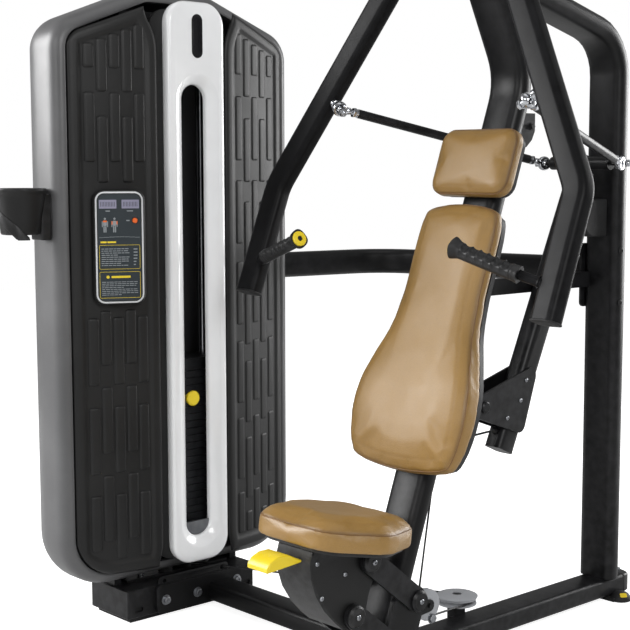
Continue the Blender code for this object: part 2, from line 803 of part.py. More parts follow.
def make_tower_frame():
    body = box(BOX_X0, BOX_X1, BOX_Y0, BOX_Y1, RAIL_Z0, BOX_TOP, 0.002)
    holes = []
    for y in (-0.150, 0.182):
        slot = fillet(rect(y - 0.012, y + 0.012, 0.026, 0.038, 0.0058), 3)
        holes.append(prism(slot, BOX_X1 - 0.004, BOX_X1 + 0.004, "X"))
    pads = []
    for y in (BOX_Y0 + 0.016, BOX_Y1 - 0.016):
        pads.append(box(-0.780, -0.700, y - 0.010, y + 0.010, BOX_TOP - 0.005, TW_BOTTOM - GAP))
    node("tower_base", "frame_black", body, fused=pads, cuts=holes)
    plate = box(-0.775, -0.695, TW_Y - 0.155, TW_Y + 0.155, BOX_TOP + GAP, BOX_TOP + 0.006)
    crown = box(-0.785, -0.690, TW_Y - 0.155, TW_Y + 0.155, 1.4480, 1.4660, 0.002)
    posts = []
    for side in (-1, 1):
        y = TW_Y + side * 0.141
        posts.append(box(-0.775, -0.735, y - 0.012, y + 0.012, BOX_TOP + 0.003, 1.4530))
    along = low_direction() * 0.0200
    across = pulley_axes()[0] * 0.0086
    slot = []
    for a, b in ((-1, -1), (1, -1), (1, 1), (-1, 1)):
        corner = LOW_PULLEY + along * a + across * b
        slot.append((corner.x, corner.y))
    parts = [*posts, crown, *pulley_hangers()]
    node("tower_frame", "frame_black", plate, fused=parts, cuts=[prism(slot, 0.080, 0.0925, "Z")])


def pulley(centre, axis, radius, width=0.016, bore=0.006):
    """Grooved wheel whose cable centre line runs at the given radius."""
    h = width / 2
    rim = radius + 0.006
    seat = radius - CABLE_R - 0.0014
    profile = [
        (bore, -h),
        (rim, -h),
        (rim, -h + 0.0035),
        (seat, -0.0028),
        (seat, 0.0028),
        (rim, h - 0.0035),
        (rim, h),
        (bore, h),
    ]
    return ring_lathe(profile, centre, axis, 20)


def low_direction():
    return Vector((-0.908, -0.419, 0)).normalized()


def top_direction():
    away = Vector((STACK_X, TW_Y, 0)) - Vector((TOP_PULLEY.x, TOP_PULLEY.y, 0))
    return away.normalized()


def pulley_axes():
    low_axis = Vector((-low_direction().y, low_direction().x, 0))
    top_axis = Vector((-top_direction().y, top_direction().x, 0))
    return low_axis, top_axis


def pulley_hangers():
    """Straps and axles that hold the two tower pulleys."""
    low_axis, top_axis = pulley_axes()
    hang = []
    for side in (-1, 1):
        a = top_axis * side
        drop = 1.4530 - TOP_PULLEY.z
        hang.append(strap(TOP_PULLEY + a * 0.0090, TOP_PULLEY + a * 0.0120, top_direction(), 0.016, -0.018, drop))
        b = low_axis * side
        rise = BOX_TOP + 0.003 - LOW_PULLEY.z
        hang.append(strap(LOW_PULLEY + b * 0.0090, LOW_PULLEY + b * 0.0120, low_direction(), 0.010, rise, 0.016))
    hang.append(cylinder(TOP_PULLEY - top_axis * 0.0105, TOP_PULLEY + top_axis * 0.0105, 0.0056, 12))
    hang.append(cylinder(LOW_PULLEY - low_axis * 0.0105, LOW_PULLEY + low_axis * 0.0105, 0.0056, 12))
    return hang


def column_pulley_cheeks():
    """Cheeks and axles welded to the column for the idler and the column pulley."""
    parts = []
    for z_mid, wheel in ((0.455, IDLER), (0.121, VPULLEY)):
        lo, hi = z_mid - 0.022, z_mid + 0.022
        outline = lobed([
            (wheel.y, wheel.z, 0.014),
            (col_y(hi) + COL_REAR - 0.004, hi, 0.0035),
            (col_y(lo) + COL_REAR - 0.004, lo, 0.0035),
        ], 5)
        for side in (-1, 1):
            inner, outer = side * 0.0090, side * 0.0130
            parts.append(prism(outline, min(inner, outer), max(inner, outer), "X"))
        parts.append(cylinder(wheel - Vector((0.0170, 0, 0)), wheel + Vector((0.0170, 0, 0)), 0.0056, 12))
    return parts


def make_pulleys():
    low_axis, top_axis = pulley_axes()
    wheels = [
        ("idler_pulley", IDLER, Vector((1, 0, 0)), IDLER_R),
        ("column_pulley", VPULLEY, Vector((1, 0, 0)), VPULLEY_R),
        ("base_pulley", HPULLEY, Vector((0, 0, 1)), HPULLEY_R),
        ("tower_low_pulley", LOW_PULLEY, low_axis, LOW_R),
        ("tower_top_pulley", TOP_PULLEY, top_axis, TOP_R),
    ]
    for name, centre, axis, radius in wheels:
        node(name, "pulley_grey", pulley(centre, axis, radius), origin=centre)


def strap(near, far, along, half, lo, hi):
    """Flat hanger between two points across a pulley, from lo to hi about its centre."""
    loops = []
    for point in (near, far):
        loops.append([
            point + along * half + Vector((0, 0, lo)),
            point + along * half + Vector((0, 0, hi)),
            point - along * half + Vector((0, 0, hi)),
            point - along * half + Vector((0, 0, lo)),
        ])
    return loft(loops)


def arc(centre, from_dir, to_dir, radius, steps):
    """Points around centre from one unit direction to another, the short way."""
    a, b = Vector(from_dir).normalized(), Vector(to_dir).normalized()
    whole = a.angle(b)
    out = []
    for k in range(steps + 1):
        t = k / steps
        mix = (a * math.sin((1 - t) * whole) + b * math.sin(t * whole)) / math.sin(whole)
        out.append(Vector(centre) + mix * radius)
    return out


def make_cables():
    up = Vector((0, 0, 1))
    lead = Vector((0, VPULLEY.y - VPULLEY_R, VPULLEY.z)) - Vector((0, IDLER.y - IDLER_R, IDLER.z))
    tilt = Vector((0, -1, lead.y / -lead.z)).normalized()
    points = arc(IDLER, (0, 0.06, 1), tilt, IDLER_R, 6)
    points += arc(VPULLEY, tilt, -up, VPULLEY_R, 6)
    d = low_direction()
    leave = Vector((-d.y, d.x, 0)) * -1
    points += arc(HPULLEY, (1, 0, 0), leave, HPULLEY_R, 8)
    points += arc(LOW_PULLEY, -up, d, LOW_R, 6)
    t = top_direction()
    points += arc(TOP_PULLEY, -t, up, TOP_R, 5)
    points += arc(TOP_PULLEY, up, t, TOP_R, 5)[1:]
    node("cable_run", "rubber_black", cord(points))
    z_top = TOP_PULLEY.z - 0.0010
    z_low = STACK_Z0 + (FIXED_PLATES + MOVING_PLATES) * PLATE_PITCH + HEAD_T + 0.0226
    drop = cylinder((STACK_X, TW_Y, z_low), (STACK_X, TW_Y, z_top), CABLE_R, 8)
    node("cable_stack", "rubber_black", drop)
    start = IDLER + Vector((0, 0.0026, IDLER_R))
    node("cable_pull", "rubber_black", cord([start, Vector((0, 0.3965, 0.4880))]))


# ---------------------------------------------------------------- lever


def lever_y(z):
    return LEVER_Y0 + LEVER_SLOPE * z


def make_lever():
    lo = Vector((0, lever_y(LEVER_Z0), LEVER_Z0))
    hi = Vector((0, lever_y(LEVER_Z1), LEVER_Z1))
    tube = sweep(tube_outline(LEVER_W, LEVER_D, 0.014), [lo, hi], (1, 0, 0))
    outline = lobed([
        (LEVER_PIVOT.y, LEVER_PIVOT.z, 0.030),
        (lever_y(0.510) + 0.008, 0.500, 0.020),
        (lever_y(0.600) + 0.004, 0.610, 0.020),
    ], 8)
    bore = circle((LEVER_PIVOT.y, LEVER_PIVOT.z), 0.0095, 16)
    fused = []
    for side in (-1, 1):
        inner, outer = side * 0.0243, side * 0.0303
        fused.append(prism(outline, min(inner, outer), max(inner, outer), "X", holes=[bore]))
    eye_base = Vector((0, lever_y(0.488) - 0.0320, 0.488))
    fused.append(lathe([(0.009, 0.0), (0.009, 0.007), (0.0055, 0.010)], eye_base, (0, -1, 0), 14))
    node("lever", "frame_black", tube, fused=fused, origin=LEVER_PIVOT)
    lo_z, hi_z = 0.520, 0.600
    rear = COL_REAR + GAP
    block = lobed([
        (LEVER_PIVOT.y, LEVER_PIVOT.z, 0.024),
        (col_y(hi_z) + rear + 0.0045, hi_z, 0.004),
        (col_y(lo_z) + rear + 0.0045, lo_z, 0.004),
    ], 6)
    pin = [cylinder(LEVER_PIVOT - Vector((0.0325, 0, 0)), LEVER_PIVOT + Vector((0.0325, 0, 0)), 0.0088, 16)]
    for side in (-1, 1):
        at = LEVER_PIVOT + Vector((side * 0.0307, 0, 0))
        pin.append(lathe([(0.0135, 0), (0.0135, 0.005), (0.0100, 0.008)], at, (side, 0, 0), 16))
    node("lever_bracket", "frame_black", prism(block, -0.0225, 0.0225, "X"), fused=pin)


def make_equaliser():
    centre = Vector((0, ROD_REAR.y, ROD_REAR.z))
    along = Vector((0, LEVER_SLOPE, 1)).normalized()
    foot = Vector((0, lever_y(LEVER_Z1), LEVER_Z1)) + along * GAP
    saddle = sweep(tube_outline(0.046, 0.050, 0.008), [foot, foot + along * 0.020], (1, 0, 0))
    bar = cylinder(centre - Vector((0.088, 0, 0)), centre + Vector((0.088, 0, 0)), 0.0160, 20)
    collar = cylinder(centre - Vector((0.012, 0, 0)), centre + Vector((0.012, 0, 0)), 0.0215, 20)
    ends = [bar]
    for side in (-1, 1):
        outer = centre + Vector((side * 0.088, 0, 0))
        ends.append(cylinder(outer - Vector((side * 0.004, 0, 0)), outer + Vector((side * 0.0165, 0, 0)), 0.0052, 12))
    node("equaliser_bar", "frame_black", collar, fused=[saddle, *ends])


# ---------------------------------------------------------------- arms


def arm_centre(side):
    along = Vector((ARM_AXIS.x * side, ARM_AXIS.y, 0))
    return Vector((0, HEAD_Y, HEAD_Z)) + along * 0.0905, along


def flip(v, side):
    return Vector((v.x * side, v.y, v.z))


def make_arm(side, tag):
    centre, along = arm_centre(side)
    path = round_corners([flip(ARM_TOP, side), flip(ARM_BEND, side), flip(ARM_END, side)], [0.09], 6)
    outline = tube_outline(0.060, 0.042, 0.014)
    tube = sweep(outline, path, (side, 0, 0.3))
    barrel = cylinder(centre - along * 0.0385, centre + along * 0.0385, 0.0300, 24)
    bore = cylinder(centre - along * 0.0500, centre + along * 0.0500, 0.0129, 16)
    front = flip(ROD_FRONT, side)
    stud = lathe(
        [
            (0.0115, 0.010), (0.0115, STUD_REACH - 0.0145), (0.0062, STUD_REACH - 0.0135),
            (0.0062, STUD_REACH - 0.0080), (0.0092, STUD_REACH - 0.0045), (0.0100, STUD_REACH),
            (0.0092, STUD_REACH + 0.0045), (0.0062, STUD_REACH + 0.0080), (0.0062, STUD_REACH + 0.0120),
            (0.0105, STUD_REACH + 0.0122), (0.0105, STUD_REACH + 0.0200),
        ],
        front - flip(STUD_DIR, side) * STUD_REACH,
        flip(STUD_DIR, side),
        14,
    )
    base, end, reach = grip_lines(side)
    stub = cylinder(base + reach * -0.020, base + reach * 0.034, 0.0135, 16)
    node("arm_" + tag, "frame_black", tube, fused=[barrel, stud, stub], cuts=[bore], origin=centre)


def grip_lines(side):
    base = flip(GRIP_BASE, side)
    end = flip(GRIP_END, side)
    along = (end - base).normalized()
    return base, end, along


def make_grip(side, tag):
    base, end, along = grip_lines(side)
    length = (end - base).length
    profile = [(0.0175, 0.0343), (0.0195, 0.038), (0.0195, 0.044)]
    start, stop = 0.048, length - 0.014
    ridges = 7
    for k in range(ridges):
        a = start + (stop - start) * k / ridges
        b = start + (stop - start) * (k + 1) / ridges
        profile += [(0.0150, a), (0.0168, a + (b - a) * 0.35), (0.0168, a + (b - a) * 0.75)]
    profile += [(0.0160, length - 0.012), (0.0215, length - 0.008), (0.0215, length - 0.001)]
    node("grip_" + tag, "rubber_black", lathe(profile, base, along, 14))
    disc = [(0.0165, -0.0007), (0.0165, 0.0015), (0.0140, 0.0030)]
    node("grip_cap_" + tag, "accent_yellow", lathe(disc, end, along, 18))


def make_rod(side, tag):
    """Rod with an eye at each end: the front one round the arm's ball stud, the rear one round a ball."""
    front = flip(ROD_FRONT, side)
    rear = flip(ROD_REAR, side)
    along = (rear - front).normalized()
    length = (rear - front).length
    profile = [
        (0.0075, 0.0150),
        (0.0075, 0.0330),
        (0.0120, 0.0340),
        (0.0120, 0.0475),
        (0.0105, 0.0480),
        (0.0105, length - 0.0460),
        (0.0120, length - 0.0455),
        (0.0120, length - 0.0310),
        (0.0075, length - 0.0300),
        (0.0075, length - 0.0135),
    ]
    ring = [(0.0125, -0.0065), (0.0160, -0.0065), (0.0172, 0.0), (0.0160, 0.0065), (0.0125, 0.0065)]
    socket = [
        (0.0088, -0.0065), (0.0150, -0.0065), (0.0165, 0.0), (0.0150, 0.0065), (0.0088, 0.0065),
        (0.0108, 0.0032), (0.0108, -0.0032),
    ]
    stud = flip(STUD_DIR, side)
    pin = Vector((1, 0, 0))
    eyes = [
        ring_lathe(ring, front, (stud - along * stud.dot(along)).normalized(), 18),
        ring_lathe(socket, rear, (pin - along * pin.dot(along)).normalized(), 18),
    ]
    node("press_rod_" + tag, "frame_black", lathe(profile, front, along, 12), fused=eyes, origin=rear)
    ball = []
    for k in range(9):
        angle = math.radians(10 + 20 * k)
        ball.append((BALL_R * math.sin(angle), -BALL_R * math.cos(angle)))
    node("rod_ball_" + tag, "chrome", lathe(ball, rear, (1, 0, 0), 16), origin=rear)


# ---------------------------------------------------------------- pads


def column_place(z):
    """Matrix of a plane on the column's front face: local x across, local z up the column, -y outwards."""
    up = Vector((0, COL_SLOPE, 1)).normalized()
    out = Vector((0, 1, -COL_SLOPE)).normalized()
    base = Vector((0, col_y(z), z)) - out * (TUBE_D / 2)
    return Matrix((
        (1, 0, 0, 0),
        (0, out.y, up.y, base.y),
        (0, out.z, up.z, base.z),
        (0, 0, 0, 1),
    ))


def smooth_outline(rows, top, bottom, steps):
    """Closed symmetric outline from (height, half width) rows, by Catmull-Rom through its points."""
    right = [(w, h) for h, w in rows]
    ring = right + [(0.0, top)] + [(-w, h) for w, h in reversed(right)] + [(0.0, bottom)]
    count = len(ring)
    out = []
    for i in range(count):
        p0, p1, p2, p3 = (Vector(ring[(i + k) % count]) for k in (-1, 0, 1, 2))
        for s in range(steps):
            t = s / steps
            point = 0.5 * (
                (2 * p1)
                + (p2 - p0) * t
                + (2 * p0 - 5 * p1 + 4 * p2 - p3) * t * t
                + (3 * p1 - p0 - 3 * p2 + p3) * t * t * t
            )
            out.append((point[0], point[1]))
    return out


def scaled(outline, centre, fx, fz):
    return [(centre[0] + (a - centre[0]) * fx, centre[1] + (b - centre[1]) * fz) for a, b in outline]


def lumbar(height):
    """How much further forward the back cushion's face lies round the small of the back."""
    return 0.017 * math.exp(-(((height + 0.165) / 0.125) ** 2))


def pad_solid(outline, centre, back, front, edge, half, swell=None):
    """Cushion lofted between two depths with rounded edges, local y towards the column."""
    loops = []
    rows = [
        (back, 0.004, 0.0),
        (back - 0.003, 0.0, 0.0),
        (front + edge, 0.0, 1.0),
        (front + edge * 0.45, edge * 0.30, 1.0),
        (front + edge * 0.12, edge * 0.95, 1.0),
        (front, edge * 1.8, 1.0),
    ]
    for depth, shrink, share in rows:
        f = 1 - shrink / half[0]
        g = 1 - shrink / half[1]
        ring = scaled(outline, centre, f, g)
        loops.append([(a, depth - (swell(b) * share if swell else 0.0), b) for a, b in ring])
    if swell:
        loops += [[(a * 0.55, front - swell(b), b) for a, b in scaled(outline, centre, 0.80, 0.88)]]
        spine = [(0.0, front - swell(b) * 1.0, b) for a, b in scaled(outline, centre, 0.80, 0.80)]
        loops.append([(a * 0.02, y, b) for (a, _), (_, y, b) in zip(outline, spine)])
    return loft(loops)


def back_outline():
    rows = [
        (-0.322, 0.126),
        (-0.292, 0.158),
        (-0.225, 0.171),
        (-0.150, 0.167),
        (-0.075, 0.146),
        (-0.010, 0.126),
        (0.070, 0.117),
        (0.150, 0.117),
        (0.232, 0.113),
        (0.266, 0.092),
    ]
    return smooth_outline(rows, 0.279, -0.335, 3)


def make_back_pad():
    place = column_place(0.735)
    outline = back_outline()
    centre = (0.0, -0.028)
    body = pad_solid(outline, centre, -0.0133, -0.0520, 0.013, (0.15, 0.30), lumbar)
    node("back_pad", "vinyl_tan", moved(body, place))
    shell = prism(scaled(outline, centre, 0.955, 0.975), -0.0130, -GAP, "Y")
    node("back_shell", "shell_grey", moved(shell, place))


def make_headrest():
    place = column_place(1.089)
    outline = fillet(rect(-0.114, 0.114, -0.079, 0.079, 0.032), 5)
    body = pad_solid(outline, (0.0, 0.0), -0.0133, -0.0540, 0.015, (0.114, 0.079))
    node("head_pad", "vinyl_tan", moved(body, place))
    shell = prism(scaled(outline, (0, 0), 0.93, 0.92), -0.0130, -GAP, "Y")
    node("head_shell", "shell_grey", moved(shell, place))


def seat_place():
    return Matrix.Translation((0, SEAT_Y, SEAT_Z)) @ Matrix.Rotation(-SEAT_TILT, 4, "X")


def seat_outline():
    corners = [
        (-0.112, -0.146, 0.075),
        (0.112, -0.146, 0.075),
        (0.174, -0.015, 0.070),
        (0.104, 0.124, 0.055),
        (-0.104, 0.124, 0.055),
        (-0.174, -0.015, 0.070),
    ]
    return fillet(corners, 5)


def make_seat_pad():
    place = seat_place()
    outline = seat_outline()
    loops = []
    rows = [(-0.028, 0.006), (-0.024, 0.0), (0.012, 0.0), (0.022, 0.004), (0.029, 0.014), (0.033, 0.040)]
    for h, shrink in rows:
        f, g = 1 - shrink / 0.19, 1 - shrink / 0.14
        loops.append([(a * f, b * g, h) for a, b in outline])
    node("seat_pad", "vinyl_tan", moved(loft(loops), place))
    board = moved(prism(scaled(outline, (0, 0), 0.90, 0.88), -0.0360, -0.0283, "Z"), place)
    bearers = []
    for side in (-1, 1):
        x0, x1 = sorted((side * 0.0490, side * 0.0300))
        bearers.append(moved(box(x0, x1, -0.095, 0.075, -0.050, -0.034), place))
    node("seat_board", "shell_grey", board, fused=bearers)


# ---------------------------------------------------------------- seat mechanism


def seat_cheeks():
    """Side plates of the column that carry the two fixed pivots of the seat linkage, with their caps."""
    outline = lobed([
        (PIV_B[0] + 0.004, PIV_B[1] - 0.006, 0.032),
        (PIV_A[0], PIV_A[1], 0.031),
        (0.050, 0.160, 0.020),
        (-0.005, 0.040, 0.016),
    ], 5)
    parts = []
    for side in (-1, 1):
        x = (side * (TUBE_W / 2 - 0.006), side * 0.0563)
        parts.append(prism(outline, min(x), max(x), "X"))
    return parts + pivot_stubs([PIV_A, PIV_B], 0.0540)


def pivot_stubs(spots, start):
    """Pin with its round cap for each pivot, first on the -X side and then on the +X side."""
    out = []
    for side in (-1, 1):
        for spot in spots:
            at = (side * start, spot[0], spot[1])
            far = 0.0655 - start
            profile = [(0.0080, 0.0), (0.0080, far), (0.0240, far + 0.0002), (0.0240, far + 0.0045)]
            profile += [(0.0190, far + 0.0095), (0.0080, far + 0.0095)]
            out.append(lathe(profile, at, (side, 0, 0), 16))
    return out


def seat_link(a, b, inner, outer):
    """Two flat bars between a seat pivot and a frame pivot, joined by a cross tube half way."""
    bores = [circle(a, 0.0085, 12), circle(b, 0.0085, 12)]
    outline = lobed([(a[0], a[1], 0.026), (b[0], b[1], 0.026)], 7)
    bars = []
    for side in (-1, 1):
        x = (side * inner, side * outer)
        bars.append(prism(outline, min(x), max(x), "X", holes=bores))
    y, z = (a[0] + b[0]) / 2, (a[1] + b[1]) / 2
    tube = cylinder((-inner - 0.003, y, z), (inner + 0.003, y, z), 0.0090, 12)
    return tube, bars


def make_seat_links():
    for name, a, b in (("seat_link_upper", PIV_C, PIV_A), ("seat_link_lower", PIV_D, PIV_B)):
        tube, bars = seat_link(a, b, 0.0570, 0.0650)
        node(name, "frame_black", tube, fused=bars, origin=(0, b[0], b[1]))


def shield_profile():
    return [
        (-0.198, 0.3280),
        (-0.205, 0.3050),
        (-0.203, 0.2700),
        (-0.190, 0.2320),
        (-0.167, 0.1960),
        (-0.138, 0.1650),
        (-0.115, 0.1450),
        (-0.091, 0.1380),
        (-0.066, 0.1450),
        (-0.052, 0.1660),
        (-0.040, 0.2100),
        (-0.018, 0.2540),
        (-0.012, 0.2790),
        (-0.018, 0.2950),
        (-0.018, 0.3000),
    ]


def make_seat_carriage():
    """Folded shield under the seat: two side walls joined by a curved front, with the seat pivots."""
    body = prism(shield_profile(), -0.0555, 0.0555, "X", bevel=0.003)
    hollow = [(-0.186, 0.3600), (-0.193, 0.3050), (-0.191, 0.2730), (-0.179, 0.2370), (-0.157, 0.2030),
              (-0.130, 0.1740), (-0.108, 0.1560), (0.060, 0.1000), (0.060, 0.3600)]
    cut = prism(hollow, -0.0495, 0.0495, "X")
    pins = pivot_stubs([PIV_C, PIV_D], 0.0520)
    item = plain_object("shield", body)
    boolean(item, plain_object("helper", cut), "DIFFERENCE")
    for made in pins:
        boolean(item, plain_object("helper", made), "UNION")
    node("seat_shield", "shell_grey", taken(item))


def make_release():
    pivot = Vector((0, -0.2160, 0.3060))
    top = [
        (-0.218, 0.3020),
        (-0.300, 0.2960),
        (-0.300, 0.3060),
        (-0.290, 0.3170),
        (-0.270, 0.3250),
        (-0.245, 0.3250),
        (-0.225, 0.3150),
        (-0.2085, 0.3080),
        (-0.2085, 0.3030),
    ]
    paddle = prism(top, -0.032, 0.032, "X", bevel=0.002)
    under = prism([(-0.2960, 0.2900), (-0.240, 0.2900), (-0.236, 0.3100), (-0.262, 0.3190), (-0.288, 0.3120)],
                  -0.028, 0.028, "X")
    node("release_lever", "accent_yellow", paddle, cuts=[under], origin=pivot)


def main():
    clear_scene()
    make_base()
    make_column()
    make_upright()
    make_cross_tube()
    make_feet()
    make_stops()
    pivot_head()
    make_tower_shell()
    make_panels()
    make_strip()
    make_console()
    make_cup_holder()
    make_stack()
    make_tower_frame()
    make_pulleys()
    make_cables()
    make_lever()
    make_equaliser()
    for side, tag in ((1, "left"), (-1, "right")):
        make_arm(side, tag)
        make_grip(side, tag)
        make_rod(side, tag)
    make_back_pad()
    make_headrest()
    make_seat_pad()
    make_seat_links()
    make_seat_carriage()
    make_release()


main()
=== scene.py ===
"""Chest press machine: finishes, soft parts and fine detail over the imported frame, in metres."""

import math

import bmesh
import bpy
from mathutils import Matrix, Vector
from mathutils.bvhtree import BVHTree
from mathutils.geometry import tessellate_polygon


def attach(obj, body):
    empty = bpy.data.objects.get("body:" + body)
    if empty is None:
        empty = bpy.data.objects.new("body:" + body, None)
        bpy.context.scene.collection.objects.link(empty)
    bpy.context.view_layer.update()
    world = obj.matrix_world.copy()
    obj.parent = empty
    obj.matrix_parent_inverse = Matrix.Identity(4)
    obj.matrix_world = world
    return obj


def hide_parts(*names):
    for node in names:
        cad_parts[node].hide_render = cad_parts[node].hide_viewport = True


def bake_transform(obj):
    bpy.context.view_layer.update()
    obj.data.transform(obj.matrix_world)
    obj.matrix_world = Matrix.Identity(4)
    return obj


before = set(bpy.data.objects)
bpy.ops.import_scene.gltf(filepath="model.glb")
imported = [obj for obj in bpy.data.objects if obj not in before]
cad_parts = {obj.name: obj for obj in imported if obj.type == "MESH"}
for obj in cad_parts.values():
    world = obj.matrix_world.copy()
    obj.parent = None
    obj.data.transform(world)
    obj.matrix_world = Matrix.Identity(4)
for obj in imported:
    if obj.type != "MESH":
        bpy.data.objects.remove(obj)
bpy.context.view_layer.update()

# Column: depth of its tube and how far it leans back for each metre of height
TUBE_D = 0.050
COL_SLOPE = 0.3614

# Tower: its middle, half width, back face and the shell's back corners
TW_Y = 0.011
TW_HALF = 0.347
TW_BACK = -0.840
SHELL_CORNER = 0.100
SHELL_WALL = 0.010

# Panels: gap to the shell's outline, inner and outer edges from the middle, raised bars
PANEL_INSET = 0.0320
PANEL_IN = 0.100
PANEL_OUT = 0.3146
BAR_START = 0.1340
BAR_PITCH = 0.0300
BAR_WIDTH = 0.0258
BAR_LENGTH = 0.1600
BAR_LEAST = 0.030
BAR_FIELD_LOW = 0.765
BAR_FIELD_HIGH = 1.062

# White strip, its slot and the plane of its face
STRIP_Y = 0.019
STRIP_HALF = 0.0835
STRIP_Z = (0.127, 1.489)
SLOT_HALF = 0.036
SLOT_Z = (0.190, 1.294)
STRIP_FACE = -0.6020

# Console: turn of its face, distance from the tower's middle and height; levels of its print; its button
CONSOLE_TURN = 0.48
CONSOLE_OFF = 0.206
CONSOLE_Z = 0.913
FACE = 0.0262
PRINT = 0.0267
THICK_PRINT = 0.0268
BUTTON = (0.036, 0.062)

# Cup holder: axis, outer radius and height where its flare starts and ends
CUP_AXIS = Vector((-0.717, -0.3995, 0.0))
CUP_R = (0.0452, 0.0560)
CUP_FLARE_Z = 0.954
CUP_FLARE_H = 0.076

# Arms, for the left side: path of the tube, grip, ends of the press rod, ball stud, pivot shaft
ARM_TOP = Vector((0.083, 0.292, 1.668))
ARM_BEND = Vector((0.446, 0.139, 1.055))
ARM_END = Vector((0.4447, 0.045, 0.807))
GRIP_BASE = Vector((0.413, 0.048, 0.882))
GRIP_END = Vector((0.230, 0.016, 0.940))
ROD_FRONT = Vector((0.2780, 0.1819, 1.2310))
ROD_REAR = Vector((0.115, 0.724, 1.107))
STUD_DIR = Vector((-0.846, -0.146, -0.512)).normalized()
STUD_REACH = 0.0555
HEAD = Vector((0, 0.2745, 1.695))
SHAFT_X, SHAFT_Y = 0.985, -0.1736

# Cushions: how far cloth may move a point, and the welt's radius
CUSHION_CAP = 0.006
WELT_R = 0.0012

CABLE_R = 0.0025
UP = Vector((0, 0, 1))


# ---------------------------------------------------------------- outlines and solids


def fillet(corners, steps=6):
    """Polygon through corners given as (a, b, radius), each rounded with steps + 1 points."""
    out = []
    count = len(corners)
    for i in range(count):
        p = Vector(corners[i][:2])
        a = (Vector(corners[i - 1][:2]) - p).normalized()
        b = (Vector(corners[(i + 1) % count][:2]) - p).normalized()
        radius = corners[i][2]
        half = a.angle(b) / 2
        centre = p + (a + b).normalized() * (radius / math.sin(half))
        start = p + a * (radius / math.tan(half)) - centre
        end = p + b * (radius / math.tan(half)) - centre
        turn = start.angle_signed(end)
        for k in range(steps + 1):
            angle = -turn * k / steps
            c, s = math.cos(angle), math.sin(angle)
            out.append((centre[0] + start[0] * c - start[1] * s, centre[1] + start[0] * s + start[1] * c))
    return out


def inset(corners, d):
    """The same corners moved inwards by d (counter-clockwise input), radii reduced to match."""
    count = len(corners)
    lines = []
    for i in range(count):
        p = Vector(corners[i][:2])
        along = (Vector(corners[(i + 1) % count][:2]) - p).normalized()
        lines.append((p + Vector((-along[1], along[0])) * d, along))
    out = []
    for i in range(count):
        p, u = lines[i - 1]
        q, v = lines[i]
        t = ((q[0] - p[0]) * v[1] - (q[1] - p[1]) * v[0]) / (u[0] * v[1] - u[1] * v[0])
        hit = p + u * t
        out.append((hit[0], hit[1], max(corners[i][2] - d, 0.004)))
    return out


def rect(a0, a1, b0, b1, radius):
    """Corners of a rectangle, for fillet."""
    return [(a0, b0, radius), (a1, b0, radius), (a1, b1, radius), (a0, b1, radius)]


def plain(a0, a1, b0, b1):
    """Rectangle with sharp corners."""
    return [(a0, b0), (a1, b0), (a1, b1), (a0, b1)]


def scaled(outline, centre, factor):
    return [(centre[0] + (a - centre[0]) * factor, centre[1] + (b - centre[1]) * factor) for a, b in outline]


def circle(radius, count=24, centre=(0.0, 0.0)):
    angles = [2 * math.pi / count * k for k in range(count)]
    return [(centre[0] + radius * math.cos(t), centre[1] + radius * math.sin(t)) for t in angles]


def solid(verts, faces):
    """Mesh under construction from points and faces, its normals facing out."""
    made = bmesh.new()
    for v in verts:
        made.verts.new(v)
    made.verts.ensure_lookup_table()
    for f in faces:
        made.faces.new([made.verts[i] for i in f])
    bmesh.ops.recalc_face_normals(made, faces=made.faces)
    return made


def loft(loops, closed=False, caps=True):
    """Skin through loops of 3-D points with equal counts."""
    size = len(loops[0])
    faces = []
    last = len(loops) if closed else len(loops) - 1
    for k in range(last):
        a = k * size
        b = ((k + 1) % len(loops)) * size
        faces += [(a + i, a + (i + 1) % size, b + (i + 1) % size, b + i) for i in range(size)]
    if caps and not closed:
        faces.append(tuple(range(size)))
        faces.append(tuple(range((len(loops) - 1) * size, len(loops) * size)))
    return solid([p for loop in loops for p in loop], faces)


def plate(outline, lo, hi, bevel=0.0, holes=()):
    """Flat plate in the local XY plane from z lo to hi, its upper edge bevelled."""
    loops = [outline, *holes]
    flat = [p for loop in loops for p in loop]
    count = len(flat)
    verts = [(p[0], p[1], lo) for p in flat] + [(p[0], p[1], hi) for p in flat]
    faces = []
    for tri in tessellate_polygon([[Vector((p[0], p[1], 0)) for p in loop] for loop in loops]):
        faces.append(tuple(tri))
        faces.append(tuple(i + count for i in tri))
    base = 0
    for loop in loops:
        size = len(loop)
        for i in range(size):
            j = (i + 1) % size
            faces.append((base + i, base + j, base + j + count, base + i + count))
        base += size
    made = solid(verts, faces)
    if bevel:
        edges = [e for e in made.edges if e.calc_face_angle(0) > 0.6]
        bmesh.ops.bevel(made, geom=edges, offset=bevel, segments=2, affect="EDGES", profile=0.5)
    return made


def placed(base, direction, hint=UP):
    """Matrix whose local z runs along direction from base."""
    w = Vector(direction).normalized()
    if abs(w.dot(hint)) > 0.99:
        hint = Vector((0, 1, 0))
    u = hint.cross(w).normalized()
    made = Matrix((u, w.cross(u), w)).transposed().to_4x4()
    made.translation = Vector(base)
    return made


def lathe(profile, base, direction, count=24, closed=False):
    """Profile of (radius, height) turned about the line from base along direction."""
    place = placed(base, direction)
    loops = []
    for radius, height in profile:
        loops.append([place @ Vector((a, b, height)) for a, b in circle(radius, count)])
    return loft(loops, closed=closed)


def hexagon(radius, lo, hi, base, direction):
    """Hexagonal nut or bolt head with chamfered ends."""
    cut = radius * 0.10
    profile = [(radius - cut, lo), (radius, lo + cut), (radius, hi - cut), (radius - cut, hi)]
    return lathe(profile, base, direction, 6)


